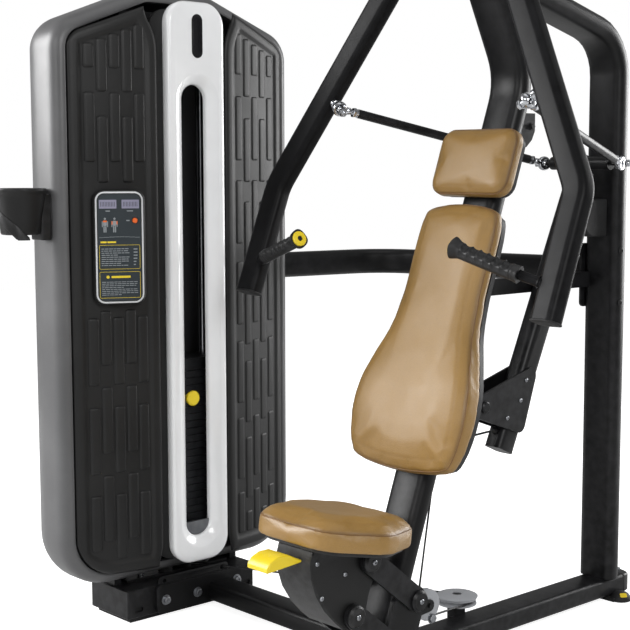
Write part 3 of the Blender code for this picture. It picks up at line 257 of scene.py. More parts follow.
def sweep(outline, path, side):
    """Outline of (a, b) carried along path; a lies along side, b across side and path."""
    loops = []
    count = len(path)
    side = Vector(side).normalized()
    for i in range(count):
        here = Vector(path[i])
        before = Vector(path[max(i - 1, 0)])
        after = Vector(path[min(i + 1, count - 1)])
        along = (after - before).normalized()
        across = along.cross(side).normalized()
        true_side = across.cross(along).normalized()
        loops.append([here + true_side * a + across * b for a, b in outline])
    return loft(loops)


def joined(parts):
    """One bmesh holding all of these, which are freed."""
    whole = bmesh.new()
    for part in parts:
        mesh = bpy.data.meshes.new("part")
        part.to_mesh(mesh)
        part.free()
        whole.from_mesh(mesh)
        bpy.data.meshes.remove(mesh)
    return whole


def moved(made, matrix):
    bmesh.ops.transform(made, matrix=matrix, verts=made.verts)
    return made


def linked(name, made):
    """Object in the scene from a mesh under construction, which is freed."""
    mesh = bpy.data.meshes.new(name)
    made.to_mesh(mesh)
    made.free()
    item = bpy.data.objects.new(name, mesh)
    bpy.context.scene.collection.objects.link(item)
    return item


def piece(name, made, finish, body, replaces=(), smooth=35.0):
    """Object with its finish, riding on a body; edges over smooth degrees stay sharp."""
    item = linked(name, made)
    item.data.shade_smooth()
    item.data.set_sharp_from_angle(angle=math.radians(smooth))
    item.data.materials.append(finish)
    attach(item, body)
    if replaces:
        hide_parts(*replaces)
    return item


# ---------------------------------------------------------------- materials


def srgb(r, g, b):
    """Linear colour of 8-bit display values."""
    return (*(((c / 255 + 0.055) / 1.055) ** 2.4 if c > 10 else c / 3294.6 for c in (r, g, b)), 1.0)


class Finish:
    """Builds the node tree of one material; textures follow the object's own coordinates."""

    def __init__(self, name):
        self.material = bpy.data.materials.new(name)
        self.material.use_nodes = True
        self.tree = self.material.node_tree
        self.shader = self.tree.nodes["Principled BSDF"]
        self.point = self.add("TexCoord").outputs["Object"]

    def add(self, kind, inputs=None, **settings):
        made = self.tree.nodes.new("ShaderNode" + kind)
        for key, value in settings.items():
            setattr(made, key, value)
        for key, value in (inputs or {}).items():
            self.join(value, made.inputs[key])
        return made

    def join(self, value, socket):
        if isinstance(value, bpy.types.NodeSocket):
            self.tree.links.new(value, socket)
        else:
            socket.default_value = value

    def stretched(self, scale):
        """Coordinates drawn out along the axes that have a small scale."""
        return self.add("Mapping", {"Vector": self.point, "Scale": scale}).outputs["Vector"]

    def noise(self, scale, detail=3.0, rough=0.55, point=None):
        inputs = {"Vector": point or self.point, "Scale": scale, "Detail": detail, "Roughness": rough}
        return self.add("TexNoise", inputs).outputs["Fac"]

    def cells(self, scale, feature="F1"):
        inputs = {"Vector": self.point, "Scale": scale}
        return self.add("TexVoronoi", inputs, feature=feature).outputs["Distance"]

    def calc(self, operation, a, b=0.0):
        return self.add("Math", {0: a, 1: b}, operation=operation).outputs[0]

    def span(self, value, lo, hi, to_lo=0.0, to_hi=1.0):
        inputs = {0: value, 1: lo, 2: hi, 3: to_lo, 4: to_hi}
        return self.add("MapRange", inputs, clamp=True).outputs[0]

    def mix(self, factor, a, b):
        return self.add("Mix", {0: factor, 6: a, 7: b}, data_type="RGBA").outputs[2]

    def bump(self, height, strength, distance, normal=None):
        inputs = {"Height": height, "Strength": strength, "Distance": distance}
        if normal:
            inputs["Normal"] = normal
        return self.add("Bump", inputs).outputs["Normal"]

    def set(self, **values):
        for key, value in values.items():
            self.join(value, self.shader.inputs[key.replace("_", " ")])


def moulded(name, low, high, rough, grain, depth, spec=0.5, coat=0.0, edge_highlight_and_wear=None):
    """Painted, moulded or cast surface: two tones drifting over it, fine grain, uneven gloss, and if given a lighter
    colour on convex edges that is partly edge wear and partly a painted highlight.
    """
    f = Finish(name)
    drift = f.span(f.noise(5.0, 4.0), 0.35, 0.65)
    fleck = f.span(f.noise(grain * 0.6, 2.0), 0.55, 0.75)
    light_fleck = (*(min(c * 2.2, 1.0) for c in high[:3]), 1.0)
    color = f.mix(drift, low, high)
    color = f.mix(f.calc("MULTIPLY", fleck, 0.12), color, light_fleck)
    # Lighter colour on convex edges, broken up by noise: partly edge wear, partly a painted highlight along the edges.
    if edge_highlight_and_wear:
        edge = f.add("NewGeometry").outputs["Pointiness"]
        edge_highlight_and_wear_mask = f.calc("MULTIPLY", f.span(edge, 0.52, 0.60), f.span(f.noise(45.0, 5.0), 0.35, 0.65))
        color = f.mix(f.calc("MULTIPLY", edge_highlight_and_wear_mask, 0.6), color, edge_highlight_and_wear)
    smudge = f.span(f.noise(11.0, 5.0, 0.55), 0.3, 0.7, rough - 0.025, rough + 0.035)
    skin = f.bump(f.noise(grain, 2.0, 0.5), 0.35, depth)
    f.set(Base_Color=color, Roughness=smudge, Normal=skin)
    f.set(Specular_IOR_Level=spec, Coat_Weight=coat)
    f.shader.inputs["Coat Roughness"].default_value = 0.12
    return f.material


def leather():
    """Upholstery vinyl: pebbled grain with painted shade in its grooves, soft tone drift, a dark welt line along its
    crease and painted shade in a band along the cushion's edges.
    """
    f = Finish("tan_vinyl")
    drift = f.span(f.noise(7.0, 5.0, 0.6), 0.3, 0.7)
    color = f.mix(drift, srgb(149, 113, 48), srgb(159, 122, 57))
    crease = f.cells(420.0, "DISTANCE_TO_EDGE")
    pebble = f.span(crease, 0.0, 0.22)
    # The grooves between the raised pebbles are painted darker: painted shade in the grain's grooves.
    color = f.mix(f.calc("MULTIPLY", f.calc("SUBTRACT", 1.0, pebble), 0.30), color, srgb(112, 80, 36))
    # Darker where the cushion's attribute is high: the dark welt line along the crease, and painted shade in a band
    # along the cushion's edges.
    seam_and_edge_shade = f.add("Attribute", attribute_name="seam_and_edge_shade").outputs["Fac"]
    color = f.mix(f.calc("MULTIPLY", seam_and_edge_shade, 0.75), color, srgb(92, 62, 26))
    fine = f.noise(1500.0, 2.0)
    height = f.calc("ADD", pebble, f.calc("MULTIPLY", fine, 0.25))
    skin = f.bump(height, 0.35, 0.0004)
    wrinkle = f.bump(f.noise(38.0, 4.0, 0.6), 0.10, 0.004, skin)
    gloss = f.span(f.noise(20.0, 5.0), 0.3, 0.7, 0.36, 0.46)
    f.set(Base_Color=color, Roughness=gloss, Normal=wrinkle)
    f.set(Specular_IOR_Level=0.60, Sheen_Weight=0.02, Coat_Weight=0.30)
    f.shader.inputs["Coat Roughness"].default_value = 0.42
    f.shader.inputs["Sheen Roughness"].default_value = 0.4
    return f.material


def bright_metal(name="chrome_plate", tone=(206, 208, 212), rough=0.14):
    """Plated steel: polish lines along it, faint haze."""
    f = Finish(name)
    lines = f.noise(260.0, 3.0, 0.6, f.stretched((1.0, 1.0, 0.06)))
    color = f.mix(f.span(f.noise(30.0, 4.0), 0.3, 0.7), srgb(*tone), srgb(*(c - 26 for c in tone)))
    haze = f.span(f.noise(22.0, 6.0), 0.35, 0.75, rough, rough + 0.12)
    f.set(Base_Color=color, Roughness=haze, Normal=f.bump(lines, 0.10, 0.0002), Metallic=1.0)
    return f.material


def cast_plate():
    """Painted iron weight plates with machined, brighter edges."""
    f = Finish("cast_plate")
    across = f.noise(180.0, 4.0, 0.6, f.stretched((1.0, 1.0, 6.0)))
    color = f.mix(f.span(f.noise(24.0, 5.0), 0.3, 0.7), srgb(30, 31, 33), srgb(52, 53, 56))
    color = f.mix(f.calc("MULTIPLY", f.span(across, 0.5, 0.8), 0.35), color, srgb(98, 99, 103))
    f.set(Base_Color=color, Roughness=f.span(across, 0.3, 0.7, 0.34, 0.52))
    f.set(Normal=f.bump(across, 0.3, 0.0004), Metallic=0.55)
    return f.material


def rubber(name="rubber", low=(20, 20, 20), high=(32, 32, 33), rough=0.62):
    """Moulded rubber with fine pits."""
    f = Finish(name)
    color = f.mix(f.span(f.noise(30.0, 5.0), 0.3, 0.7), srgb(*low), srgb(*high))
    pits = f.cells(1300.0)
    f.set(Base_Color=color, Roughness=f.span(f.noise(60.0, 4.0), 0.3, 0.7, rough - 0.06, rough + 0.08))
    f.set(Normal=f.bump(pits, 0.35, 0.0003), Specular_IOR_Level=0.4)
    return f.material


def glossy_white():
    """Lacquered strip: clear coat over a barely warm white with soft polish haze."""
    f = Finish("white_lacquer")
    color = f.mix(f.span(f.noise(4.0, 4.0), 0.3, 0.7), srgb(232, 233, 234), srgb(243, 244, 245))
    haze = f.span(f.noise(18.0, 6.0), 0.3, 0.7, 0.12, 0.20)
    f.set(Base_Color=color, Roughness=haze, Normal=f.bump(f.noise(300.0, 2.0), 0.03, 0.0002))
    f.set(Coat_Weight=0.6)
    f.shader.inputs["Coat Roughness"].default_value = 0.05
    return f.material


def cable_sheath():
    """Nylon-coated wire rope: the strands show through as a slanted ripple."""
    f = Finish("cable_sheath")
    twist = f.add("TexWave", {"Vector": f.point, "Scale": 320.0, "Distortion": 1.5},
                  bands_direction="DIAGONAL").outputs["Fac"]
    color = f.mix(twist, srgb(18, 18, 19), srgb(40, 40, 42))
    f.set(Base_Color=color, Roughness=0.34, Normal=f.bump(twist, 0.3, 0.0003))
    return f.material


# The edge colours given to these finishes are lighter tones on convex edges: partly edge wear, partly a painted
# highlight.
BLACK = moulded("black_powder", srgb(13, 13, 14), srgb(19, 19, 20), 0.36, 700.0, 0.00035,
                spec=0.26, edge_highlight_and_wear=srgb(46, 46, 48))
ARM_BLACK = moulded("arm_powder", srgb(14, 14, 15), srgb(20, 20, 21), 0.40, 700.0, 0.00035,
                    spec=0.10, edge_highlight_and_wear=srgb(40, 40, 42))
COVER = moulded("cover_moulding", srgb(27, 27, 27), srgb(34, 34, 34), 0.42, 1100.0, 0.0003, spec=0.30)
RIM = moulded("rim_moulding", srgb(84, 84, 85), srgb(96, 96, 97), 0.36, 1100.0, 0.0002)
WHITE = glossy_white()
SHELL = moulded("shell_moulding", srgb(36, 36, 37), srgb(46, 46, 47), 0.40, 1200.0, 0.0003, spec=0.42)
SHIELD = moulded("shield_moulding", srgb(20, 20, 20), srgb(27, 27, 27), 0.40, 1000.0, 0.0003,
                 spec=0.30, edge_highlight_and_wear=srgb(64, 64, 66))
RUBBER = rubber()
GRIP = rubber("grip_rubber", (22, 22, 23), (34, 34, 35), 0.42)
YELLOW = moulded("yellow_moulding", srgb(226, 196, 24), srgb(238, 210, 40), 0.36, 1300.0, 0.0002)
ORANGE = moulded("orange_moulding", srgb(232, 96, 26), srgb(240, 112, 38), 0.34, 1300.0, 0.0002)
CHROME = bright_metal()
STEEL = bright_metal("zinc_plate", (168, 170, 174), 0.28)
PLATES = cast_plate()
PULLEY = moulded("pulley_nylon", srgb(150, 152, 156), srgb(168, 170, 174), 0.38, 1000.0, 0.0002)
CABLE = cable_sheath()
VINYL = leather()
WELT = moulded("welt_brown", srgb(104, 72, 30), srgb(120, 84, 38), 0.45, 1200.0, 0.0002)

BY_SLOT = {
    "frame_black": BLACK, "cover_dark": COVER, "rim_grey": RIM, "strip_white": WHITE, "shell_grey": SHELL,
    "rubber_black": RUBBER, "accent_yellow": YELLOW, "accent_orange": ORANGE, "chrome": CHROME,
    "plate_steel": PLATES, "pulley_grey": PULLEY, "vinyl_tan": VINYL,
}
OTHERS = {"seat_shield": SHIELD, "cable_run": CABLE, "cable_stack": CABLE, "cup_holder": SHIELD,
          "column_wheel": BLACK, "base_wheel": COVER}


def dress_cad():
    """Gives each CAD node its finish, and shades its welded surface smoothly between real edges."""
    for name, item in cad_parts.items():
        slot = item.data.materials[0].name.split(".")[0]
        item.data.materials[0] = OTHERS.get(name, BY_SLOT[slot])
        custom = item.data.attributes.get("custom_normal")
        if custom:
            item.data.attributes.remove(custom)
        item.data.shade_smooth()
        weld = item.modifiers.new("weld", "WELD")
        weld.merge_threshold = 0.00001
        split = item.modifiers.new("edges", "EDGE_SPLIT")
        split.split_angle = math.radians(34)


# ---------------------------------------------------------------- tower


def arch(d=0.0):
    """Corners of the tower's outline with its gabled top, moved inwards by d."""
    corners = [
        (TW_Y - TW_HALF, 0.100, 0.130), (TW_Y + TW_HALF, 0.100, 0.130), (TW_Y + TW_HALF, 1.420, 0.080),
        (TW_Y + 0.100, 1.515, 0.090), (TW_Y - 0.100, 1.515, 0.090), (TW_Y - TW_HALF, 1.420, 0.080),
    ]
    return inset(corners, d) if d else corners


def span(outline, y):
    """Lowest and highest z of an outline at a given y."""
    hits = []
    for i in range(len(outline)):
        p, q = outline[i - 1], outline[i]
        if (p[0] - y) * (q[0] - y) <= 0 and p[0] != q[0]:
            hits.append(p[1] + (q[1] - p[1]) * (y - p[0]) / (q[0] - p[0]))
    return min(hits), max(hits)


def panel_x(off):
    """Front surface of the swept-back panels at a distance from the tower's middle."""
    return -0.6150 - 0.150 * (off - 0.118) - 0.40 * (off - 0.118) ** 2


def soft_step(t):
    t = min(max(t, 0.0), 1.0)
    return t * t * (3 - 2 * t)


def even_mix(count, bias):
    """Numbers from 0 to 1, packed towards both ends."""
    steps = [k / count for k in range(count + 1)]
    return [(1 - bias) * t + bias * (0.5 - 0.5 * math.cos(math.pi * t)) for t in steps]


def tower_shell():
    """Outer wall from the back's centre round to the lip, then the inner wall, as (x, inset) stations."""
    stations = [(TW_BACK, 0.180)]
    for k in range(13):
        angle = math.radians(7.5 * k)
        stations.append((TW_BACK + SHELL_CORNER * (1 - math.cos(angle)), SHELL_CORNER * (1 - math.sin(angle))))
    stations += [(-0.7000, 0.0), (-0.6900, 0.0010), (-0.6810, 0.0032), (-0.6740, 0.0066), (-0.6685, 0.0110),
                 (-0.6645, 0.0165), (-0.6622, 0.0225), (-0.6620, 0.0270), (-0.6632, 0.0296), (-0.6760, 0.0308),
                 (-0.6760, SHELL_WALL)]
    inner = SHELL_CORNER - SHELL_WALL
    for k in range(7):
        angle = math.radians(90 - 15 * k)
        stations.append((TW_BACK + SHELL_CORNER - inner * math.cos(angle), SHELL_CORNER - inner * math.sin(angle)))
    loops = [[(x, a, b) for a, b in fillet(arch(d), 14)] for x, d in stations]
    piece("tower_shell_skin", loft(loops), RIM, "frame", ["tower_shell"], 40)


def panel_skin(name, sign, node):
    """Cover panel with a rolled border round a sunken field."""
    outline = fillet(arch(PANEL_INSET), 12)
    rows, columns = even_mix(150, 0.45), even_mix(46, 0.5)
    grid = []
    for t in rows:
        lean = 0.030 * soft_step((t - 0.90) / 0.10) ** 2 + 0.010 * soft_step((0.04 - t) / 0.04)
        line = []
        for s in columns:
            off = PANEL_IN + lean + (PANEL_OUT - PANEL_IN - lean) * s
            lo, hi = span(outline, TW_Y + sign * min(off, PANEL_OUT - 0.0004))
            z = lo + (hi - lo) * t
            edge = min(off - PANEL_IN - lean, PANEL_OUT - off, (z - lo) * 0.98, (hi - z) * 0.93)
            roll = 0.0056 * (1 - math.sqrt(max(0.0, 1 - (1 - min(edge / 0.013, 1.0)) ** 2)))
            sink = 0.0036 * soft_step((edge - 0.0230) / 0.0060)
            line.append(Vector((panel_x(off) - roll - sink, TW_Y + sign * off, z)))
        grid.append(line)
    verts = [p for line in grid for p in line]
    wide = len(columns)
    faces = []
    for i in range(len(rows) - 1):
        for j in range(wide - 1):
            a = i * wide + j
            faces.append((a, a + 1, a + 1 + wide, a + wide))
    item = piece(name, solid(verts, faces), COVER, "frame", [node], 60)
    thick = item.modifiers.new("wall", "SOLIDIFY")
    thick.thickness = 0.0022
    thick.offset = -1.0 if sign > 0 else 1.0


def tower_bars():
    """Staggered raised bars on both panels."""
    outline = fillet(arch(PANEL_INSET + 0.0330), 10)
    parts = []
    for sign in (-1, 1):
        for column in range(5):
            off = BAR_START + BAR_PITCH * column
            lo, hi = span(outline, TW_Y + sign * (off + 0.0125))
            for top in bar_tops(sign, column):
                z0, z1 = max(top - BAR_LENGTH, lo + 0.004), min(top, hi - 0.002)
                if sign < 0 and z1 < CONSOLE_Z:
                    z1 = min(z1, BAR_FIELD_LOW)
                elif sign < 0:
                    z0 = max(z0, BAR_FIELD_HIGH)
                if z1 - z0 >= BAR_LEAST:
                    parts.append(bar(sign, off, off + BAR_WIDTH, z0, z1))
    piece("tower_panel_bars", joined(parts), COVER, "frame", smooth=50)


def bar_tops(sign, column):
    """Upper ends of one column's bars; the front panel's lower field starts under the console."""
    if sign > 0:
        top = 1.4835 if column % 2 == 0 else 1.4300
        return [top - (0.2120 - 0.0018 * k) * k for k in range(8)]
    upper, lower = (1.4835, 0.7485) if column % 2 == 0 else (1.4300, 0.7960)
    return [upper - 0.2145 * k for k in range(3)] + [lower - 0.2110 * k for k in range(4)]


def bar(sign, off0, off1, z0, z1):
    """Raised bar with soft edges, bent to the panel."""
    loops = []
    for height, d in ((-0.0050, -0.0004), (-0.0022, 0.0004), (-0.0004, 0.0018), (0.0004, 0.0042),
                      (0.0006, 0.0070)):
        corners = rect(off0 + d, off1 - d, z0 + d, z1 - d, 0.0060 - d * 0.5)
        loops.append([(panel_x(a) + height + 0.0002, TW_Y + sign * a, z) for a, z in fillet(corners, 4)])
    return loft(loops)


def strip_loop(x, half, z, radius, grow):
    """Rounded rectangle round the strip's middle at x, grown by grow."""
    corners = rect(STRIP_Y - half - grow, STRIP_Y + half + grow, z[0] - grow, z[1] + grow, radius + grow)
    return [(x, a, b) for a, b in fillet(corners, 14)]


def centre_strip():
    """White strip with a dished slot, the plain badge over it and the plate at the slot's foot."""
    loops = []
    for x, grow in ((-0.6300, -0.0020), (-0.6130, 0.0), (-0.6085, -0.0010), (-0.6055, -0.0030),
                    (-0.6035, -0.0060), (-0.6025, -0.0100), (STRIP_FACE, -0.0180)):
        loops.append(strip_loop(x, STRIP_HALF, STRIP_Z, 0.055, grow))
    for x, grow in ((STRIP_FACE, 0.0275), (-0.6026, 0.0250), (-0.6060, 0.0180), (-0.6102, 0.0105),
                    (-0.6142, 0.0048), (-0.6175, 0.0015), (-0.6205, 0.0), (-0.6300, 0.0)):
        loops.append(strip_loop(x, SLOT_HALF, SLOT_Z, 0.0355, grow))
    piece("centre_strip_skin", loft(loops, closed=True), WHITE, "frame", ["centre_strip"], 50)
    outline = fillet(rect(STRIP_Y - 0.016, STRIP_Y + 0.016, 1.356, 1.459, 0.0159), 10)
    loops = [[(x, a, b) for a, b in scaled(outline, (STRIP_Y, 1.4075), f)]
             for x, f in ((-0.6030, 1.0), (-0.6014, 1.0), (-0.6010, 0.94), (-0.6013, 0.86))]
    badge = moulded("badge_gloss", srgb(14, 14, 16), srgb(20, 20, 23), 0.18, 1500.0, 0.0001, coat=0.8)
    piece("strip_badge", loft(loops), badge, "frame")
    corners = [(a, b, 0.0315 if b < 0.2 else 0.002)
               for a, b in plain(STRIP_Y - 0.0345, STRIP_Y + 0.0345, 0.1925, 0.226)]
    loops = [[(x, a, b) for a, b in fillet(corners, 8)] for x in (-0.6290, -0.6215)]
    piece("slot_bottom_plate", loft(loops), STEEL, "frame")


def tower():
    tower_shell()
    panel_skin("panel_front_skin", -1, "panel_front")
    panel_skin("panel_rear_skin", 1, "panel_rear")
    tower_bars()
    centre_strip()


# ---------------------------------------------------------------- console and holder


def console_place():
    """Matrix with local x along the console's width, y up and z out of its face."""
    normal = Vector((1.0, -CONSOLE_TURN, 0)).normalized()
    along = Vector((-normal.y, normal.x, 0))
    made = Matrix((along, UP, normal)).transposed().to_4x4()
    made.translation = Vector((panel_x(CONSOLE_OFF), TW_Y - CONSOLE_OFF, CONSOLE_Z))
    return made


def on_console(name, parts, finish):
    """Piece of the console from parts in its own plane."""
    piece(name, moved(joined(parts), console_place()), finish, "frame")


def tile(a0, a1, b0, b1, height=THICK_PRINT, radius=0.0004):
    return plate(fillet(rect(a0, a1, b0, b1, radius), 2), FACE, height)


def outline_box(a0, a1, b0, b1, line=0.0007):
    """Thin frame round a printed field."""
    outer = fillet(rect(a0, a1, b0, b1, 0.003), 3)
    inner = fillet(rect(a0 + line, a1 - line, b0 + line, b1 - line, 0.003 - line), 3)
    return plate(outer, FACE, THICK_PRINT, holes=[inner])


def text_rows(a0, a1, b0, b1, rows, seed):
    """Rows of short plain dashes that stand for print."""
    out = []
    pitch = (b1 - b0) / rows
    for k in range(rows):
        top = b1 - pitch * (k + 0.25)
        at, step = a0, 0
        while at < a1 - 0.006:
            width = 0.0040 + 0.0060 * abs(math.sin(seed + 2.7 * k + 1.9 * step))
            out.append(tile(at, min(at + width, a1), top - pitch * 0.34, top, PRINT, 0.0002))
            at += width + 0.0014
            step += 1
            if k % 4 == 3 and at > a0 + (a1 - a0) * 0.55:
                break
    return out


def pictogram(a, b):
    """Plain standing figure."""
    body = [tile(a - 0.0042, a + 0.0042, b - 0.006, b + 0.006, PRINT, 0.002)]
    body.append(plate(circle(0.0026, 12, (a, b + 0.0105)), FACE, PRINT))
    for side in (-1, 1):
        for near, far, low, high, radius in ((0.0006, 0.0034, -0.021, -0.0065, 0.001),
                                             (0.0050, 0.0070, -0.0085, 0.0050, 0.0008)):
            x0, x1 = sorted((a + side * near, a + side * far))
            body.append(tile(x0, x1, b + low, b + high, PRINT, radius))
    return body


def console():
    """Rim, face, displays and plain print of the console."""
    glass = moulded("console_print", srgb(34, 42, 47), srgb(40, 49, 54), 0.24, 1500.0, 0.00005, coat=0.5)
    lcd = moulded("display_glass", srgb(136, 134, 156), srgb(150, 148, 170), 0.16, 1500.0, 0.00005, coat=0.6)
    ink = moulded("print_grey", srgb(120, 126, 130), srgb(140, 146, 150), 0.4, 1500.0, 0.00005)
    silver = moulded("rim_silver", srgb(196, 198, 200), srgb(212, 214, 216), 0.3, 1500.0, 0.0001)
    face = rect(-0.0605, 0.0605, -0.134, 0.134, 0.026)
    ring = plate(fillet(inset(face, 0.0052), 8), 0.0272, 0.0292, 0.0004, [fillet(inset(face, 0.0090), 8)])
    on_console("console_rim", [ring], silver)
    sheet = plate(fillet(inset(face, 0.0105), 8), 0.0240, 0.0264, 0.0, [circle(0.0072, 20, BUTTON)])
    on_console("console_face", [sheet], glass)
    screens = [tile(a, a + 0.040, 0.090, 0.110, 0.0269, 0.001) for a in (-0.046, 0.006)]
    on_console("console_displays", screens, lcd)
    digits = []
    for k in range(5):
        for base in (-0.0425, 0.0095):
            for at in (base + 0.0070 * k, base + 0.0070 * k + 0.0034):
                digits.append(plate(plain(at, at + 0.0011, 0.0945, 0.1055), 0.0266, 0.02705))
    on_console("display_segments", digits, glass)
    grey = [tile(-0.031, -0.021, 0.083, 0.0855), tile(0.018, 0.032, 0.083, 0.0855)]
    grey += [tile(0.016, 0.024, 0.0608, 0.0634)]
    grey += pictogram(-0.033, 0.056) + pictogram(-0.011, 0.056)
    grey += text_rows(-0.042, 0.026, -0.044, -0.001, 9, 0.4) + text_rows(-0.042, 0.041, -0.112, -0.078, 8, 1.3)
    grey += text_rows(0.032, 0.041, -0.044, -0.001, 6, 2.1)
    for k in range(8):
        left, low = -0.047 + 0.0118 * k, 0.0225 + 0.0018 * math.sin(math.pi * (k + 0.5) / 8)
        grey.append(tile(left, left + 0.0115, low, low + 0.0008, PRINT, 0.0002))
    on_console("console_markings", grey, ink)
    gold = [outline_box(-0.047, 0.047, -0.050, 0.006), outline_box(-0.047, 0.047, -0.117, -0.056)]
    gold += [tile(-0.044, -0.030, 0.0105, 0.0145), tile(-0.028, -0.008, 0.0105, 0.0145)]
    gold += [tile(-0.020, 0.024, -0.0705, -0.0655), plate(circle(0.0036, 14, (-0.028, -0.068)), FACE, THICK_PRINT)]
    on_console("console_highlights", gold, YELLOW)
    warm = [tile(-0.0375, -0.0285, 0.0585, 0.0625, 0.0269, 0.0015)]
    warm += [tile(a, a + 0.0023, 0.053, 0.061, 0.0269, 0.0009) for a in (-0.0178, -0.0065)]
    on_console("console_accents", warm, ORANGE)
    socket = lathe([(0.0070, 0.0258), (0.0086, 0.0258), (0.0086, 0.0268), (0.0080, 0.0272), (0.0070, 0.0268)],
                   (*BUTTON, 0), UP, 28, closed=True)
    on_console("console_button_ring", [socket], glass)


def cup_radius(z):
    """Outer radius of the cup's flared wall at a height."""
    low, high = CUP_R
    return low + (high - low) * min(max((z - CUP_FLARE_Z) / CUP_FLARE_H, 0.0), 1.0)


def cup_holder():
    """Cup with a thick lip, a block that hooks on the tower and a swept band round the front."""
    profile = [(0.0380, 0.9452), (0.0425, 0.9458), (0.0448, 0.9490), (0.0452, 0.9540), (0.0560, 1.0300),
               (0.0572, 1.0400), (0.0590, 1.0420), (0.0600, 1.0450), (0.0600, 1.0480), (0.0588, 1.0498),
               (0.0566, 1.0500), (0.0552, 1.0490), (0.0540, 1.0440), (0.0412, 0.9560), (0.0380, 0.9515),
               (0.0010, 0.9510), (0.0010, 0.9452)]
    cup = lathe(profile, CUP_AXIS, UP, 48)
    hook = plate(fillet(rect(-0.732, -0.684, -0.3655, -0.3370, 0.006), 4), 0.932, 1.036, 0.003)
    band = []
    for k in range(25):
        t = k / 24
        angle = math.radians(205 + 150 * t)
        top, depth = 1.026 - 0.086 * t ** 1.4, 0.022 + 0.010 * t
        section = [(cup_radius(top + z) + r - 0.001, max(top + z, 0.934))
                   for r, z in ((0.0022, 0.0), (0.0042, -0.004), (0.0042, -depth), (0.0022, -depth - 0.002))]
        low = section[3][1]
        wide = cup_radius(low) - 0.002
        section += [(wide, low), (wide, section[0][1])]
        band.append([CUP_AXIS + Vector((r * math.cos(angle), r * math.sin(angle), z)) for r, z in section])
    piece("cup_holder_skin", joined([cup, hook, loft(band)]), SHIELD, "frame", ["cup_holder"], 45)


# ---------------------------------------------------------------- cushions


def column_place(z):
    """Plane on the column's front face: local x across, local z up the column, -y outwards."""
    up = Vector((0, COL_SLOPE, 1)).normalized()
    out = Vector((0, 1, -COL_SLOPE)).normalized()
    base = Vector((0, COL_SLOPE * z, z)) - out * (TUBE_D / 2)
    return Matrix(((1, 0, 0, 0), (0, out.y, up.y, base.y), (0, out.z, up.z, base.z), (0, 0, 0, 1)))


def smooth_outline(rows, top, bottom, steps):
    """Closed symmetric outline from (height, half width) rows, by Catmull-Rom through its points."""
    ring = [(w, h) for h, w in rows] + [(0.0, top)] + [(-w, h) for h, w in reversed(rows)] + [(0.0, bottom)]
    out = []
    for i in range(len(ring)):
        p0, p1, p2, p3 = (Vector(ring[(i + k) % len(ring)]) for k in (-1, 0, 1, 2))
        for s in range(steps):
            t = s / steps
            point = 0.5 * (2 * p1 + (p2 - p0) * t + (2 * p0 - 5 * p1 + 4 * p2 - p3) * t * t
                           + (3 * p1 - p0 - 3 * p2 + p3) * t * t * t)
            out.append((point[0], point[1]))
    return out


def shrunk(outline, d):
    """Outline moved inwards by d along its own normals."""
    out = []
    count = len(outline)
    for i in range(count):
        along = (Vector(outline[(i + 1) % count]) - Vector(outline[i - 1])).normalized()
        out.append((outline[i][0] - along[1] * d, outline[i][1] + along[0] * d))
    return out


def lumbar(height):
    """Bulge of the back pad at a height from its middle."""
    return 0.017 * math.exp(-(((height + 0.165) / 0.125) ** 2))


def flat(_):
    """No bulge."""
    return 0.0


def pad_form(outline, back, crease, front, bevel, swell):
    """Upholstered board: side wall up to a crease, a wide bevel, then the face. Depth runs along -y."""
    loops = []
    for depth, d, share in ((back, 0.003, 0.0), (back - 0.003, 0.0010, 0.0), (crease + 0.003, 0.0010, 1.0),
                            (crease, 0.0016, 1.0), (crease - 0.0012, 0.0032, 1.0),
                            (front + 0.0010, bevel - 0.002, 1.0), (front, bevel + 0.001, 1.0)):
        loops.append([(a, depth - swell(b) * share, b) for a, b in shrunk(outline, d)])
    middle = (0.0, sum(b for _, b in outline) / len(outline))
    inner = shrunk(outline, bevel + 0.001)
    for f in (0.75, 0.45, 0.15):
        loops.append([(a, front - 0.0008 - swell(b), b) for a, b in scaled(inner, middle, f)])
    return loft(loops)


def applied(item):
    """Mesh of the object with its modifiers, which are removed."""
    graph = bpy.context.evaluated_depsgraph_get()
    old, item.data = item.data, bpy.data.meshes.new_from_object(item.evaluated_get(graph))
    item.modifiers.clear()
    bpy.data.meshes.remove(old)
    return item.data


def inflate(item, held):
    """Cloth pressure on a closed form whose back is held; no point moves further than the cap."""
    before = [v.co.copy() for v in item.data.vertices]
    group = item.vertex_groups.new(name="held")
    group.add([v.index for v in item.data.vertices if held(v.co)], 1.0, "REPLACE")
    cloth = item.modifiers.new("cloth", "CLOTH")
    cloth.settings.vertex_group_mass = "held"
    cloth.settings.quality = 5
    cloth.settings.mass = 0.3
    cloth.settings.tension_stiffness = cloth.settings.compression_stiffness = 40
    cloth.settings.shear_stiffness = 20
    cloth.settings.bending_stiffness = 3
    cloth.settings.use_pressure = True
    cloth.settings.uniform_pressure_force = 4
    cloth.settings.effector_weights.gravity = 0
    cloth.collision_settings.use_collision = False
    cloth.point_cache.frame_start, cloth.point_cache.frame_end = 1, 20
    for number in range(1, 21):
        bpy.context.scene.frame_set(number)
    mesh = applied(item)
    for v, rest in zip(mesh.vertices, before):
        step = v.co - rest
        if step.length > CUSHION_CAP:
            v.co = rest + step * (CUSHION_CAP / step.length)
    bpy.context.scene.frame_set(1)
    item.vertex_groups.clear()


def outline_distance(outline, a, b):
    """Distance from (a, b) to a closed outline."""
    best = 1.0
    for i in range(len(outline)):
        px, py = outline[i - 1]
        dx, dy = outline[i][0] - px, outline[i][1] - py
        t = ((a - px) * dx + (b - py) * dy) / (dx * dx + dy * dy)
        t = min(max(t, 0.0), 1.0)
        best = min(best, math.hypot(a - px - dx * t, b - py - dy * t))
    return best


def bell(value, middle, width):
    return math.exp(-(((value - middle) / width) ** 2))


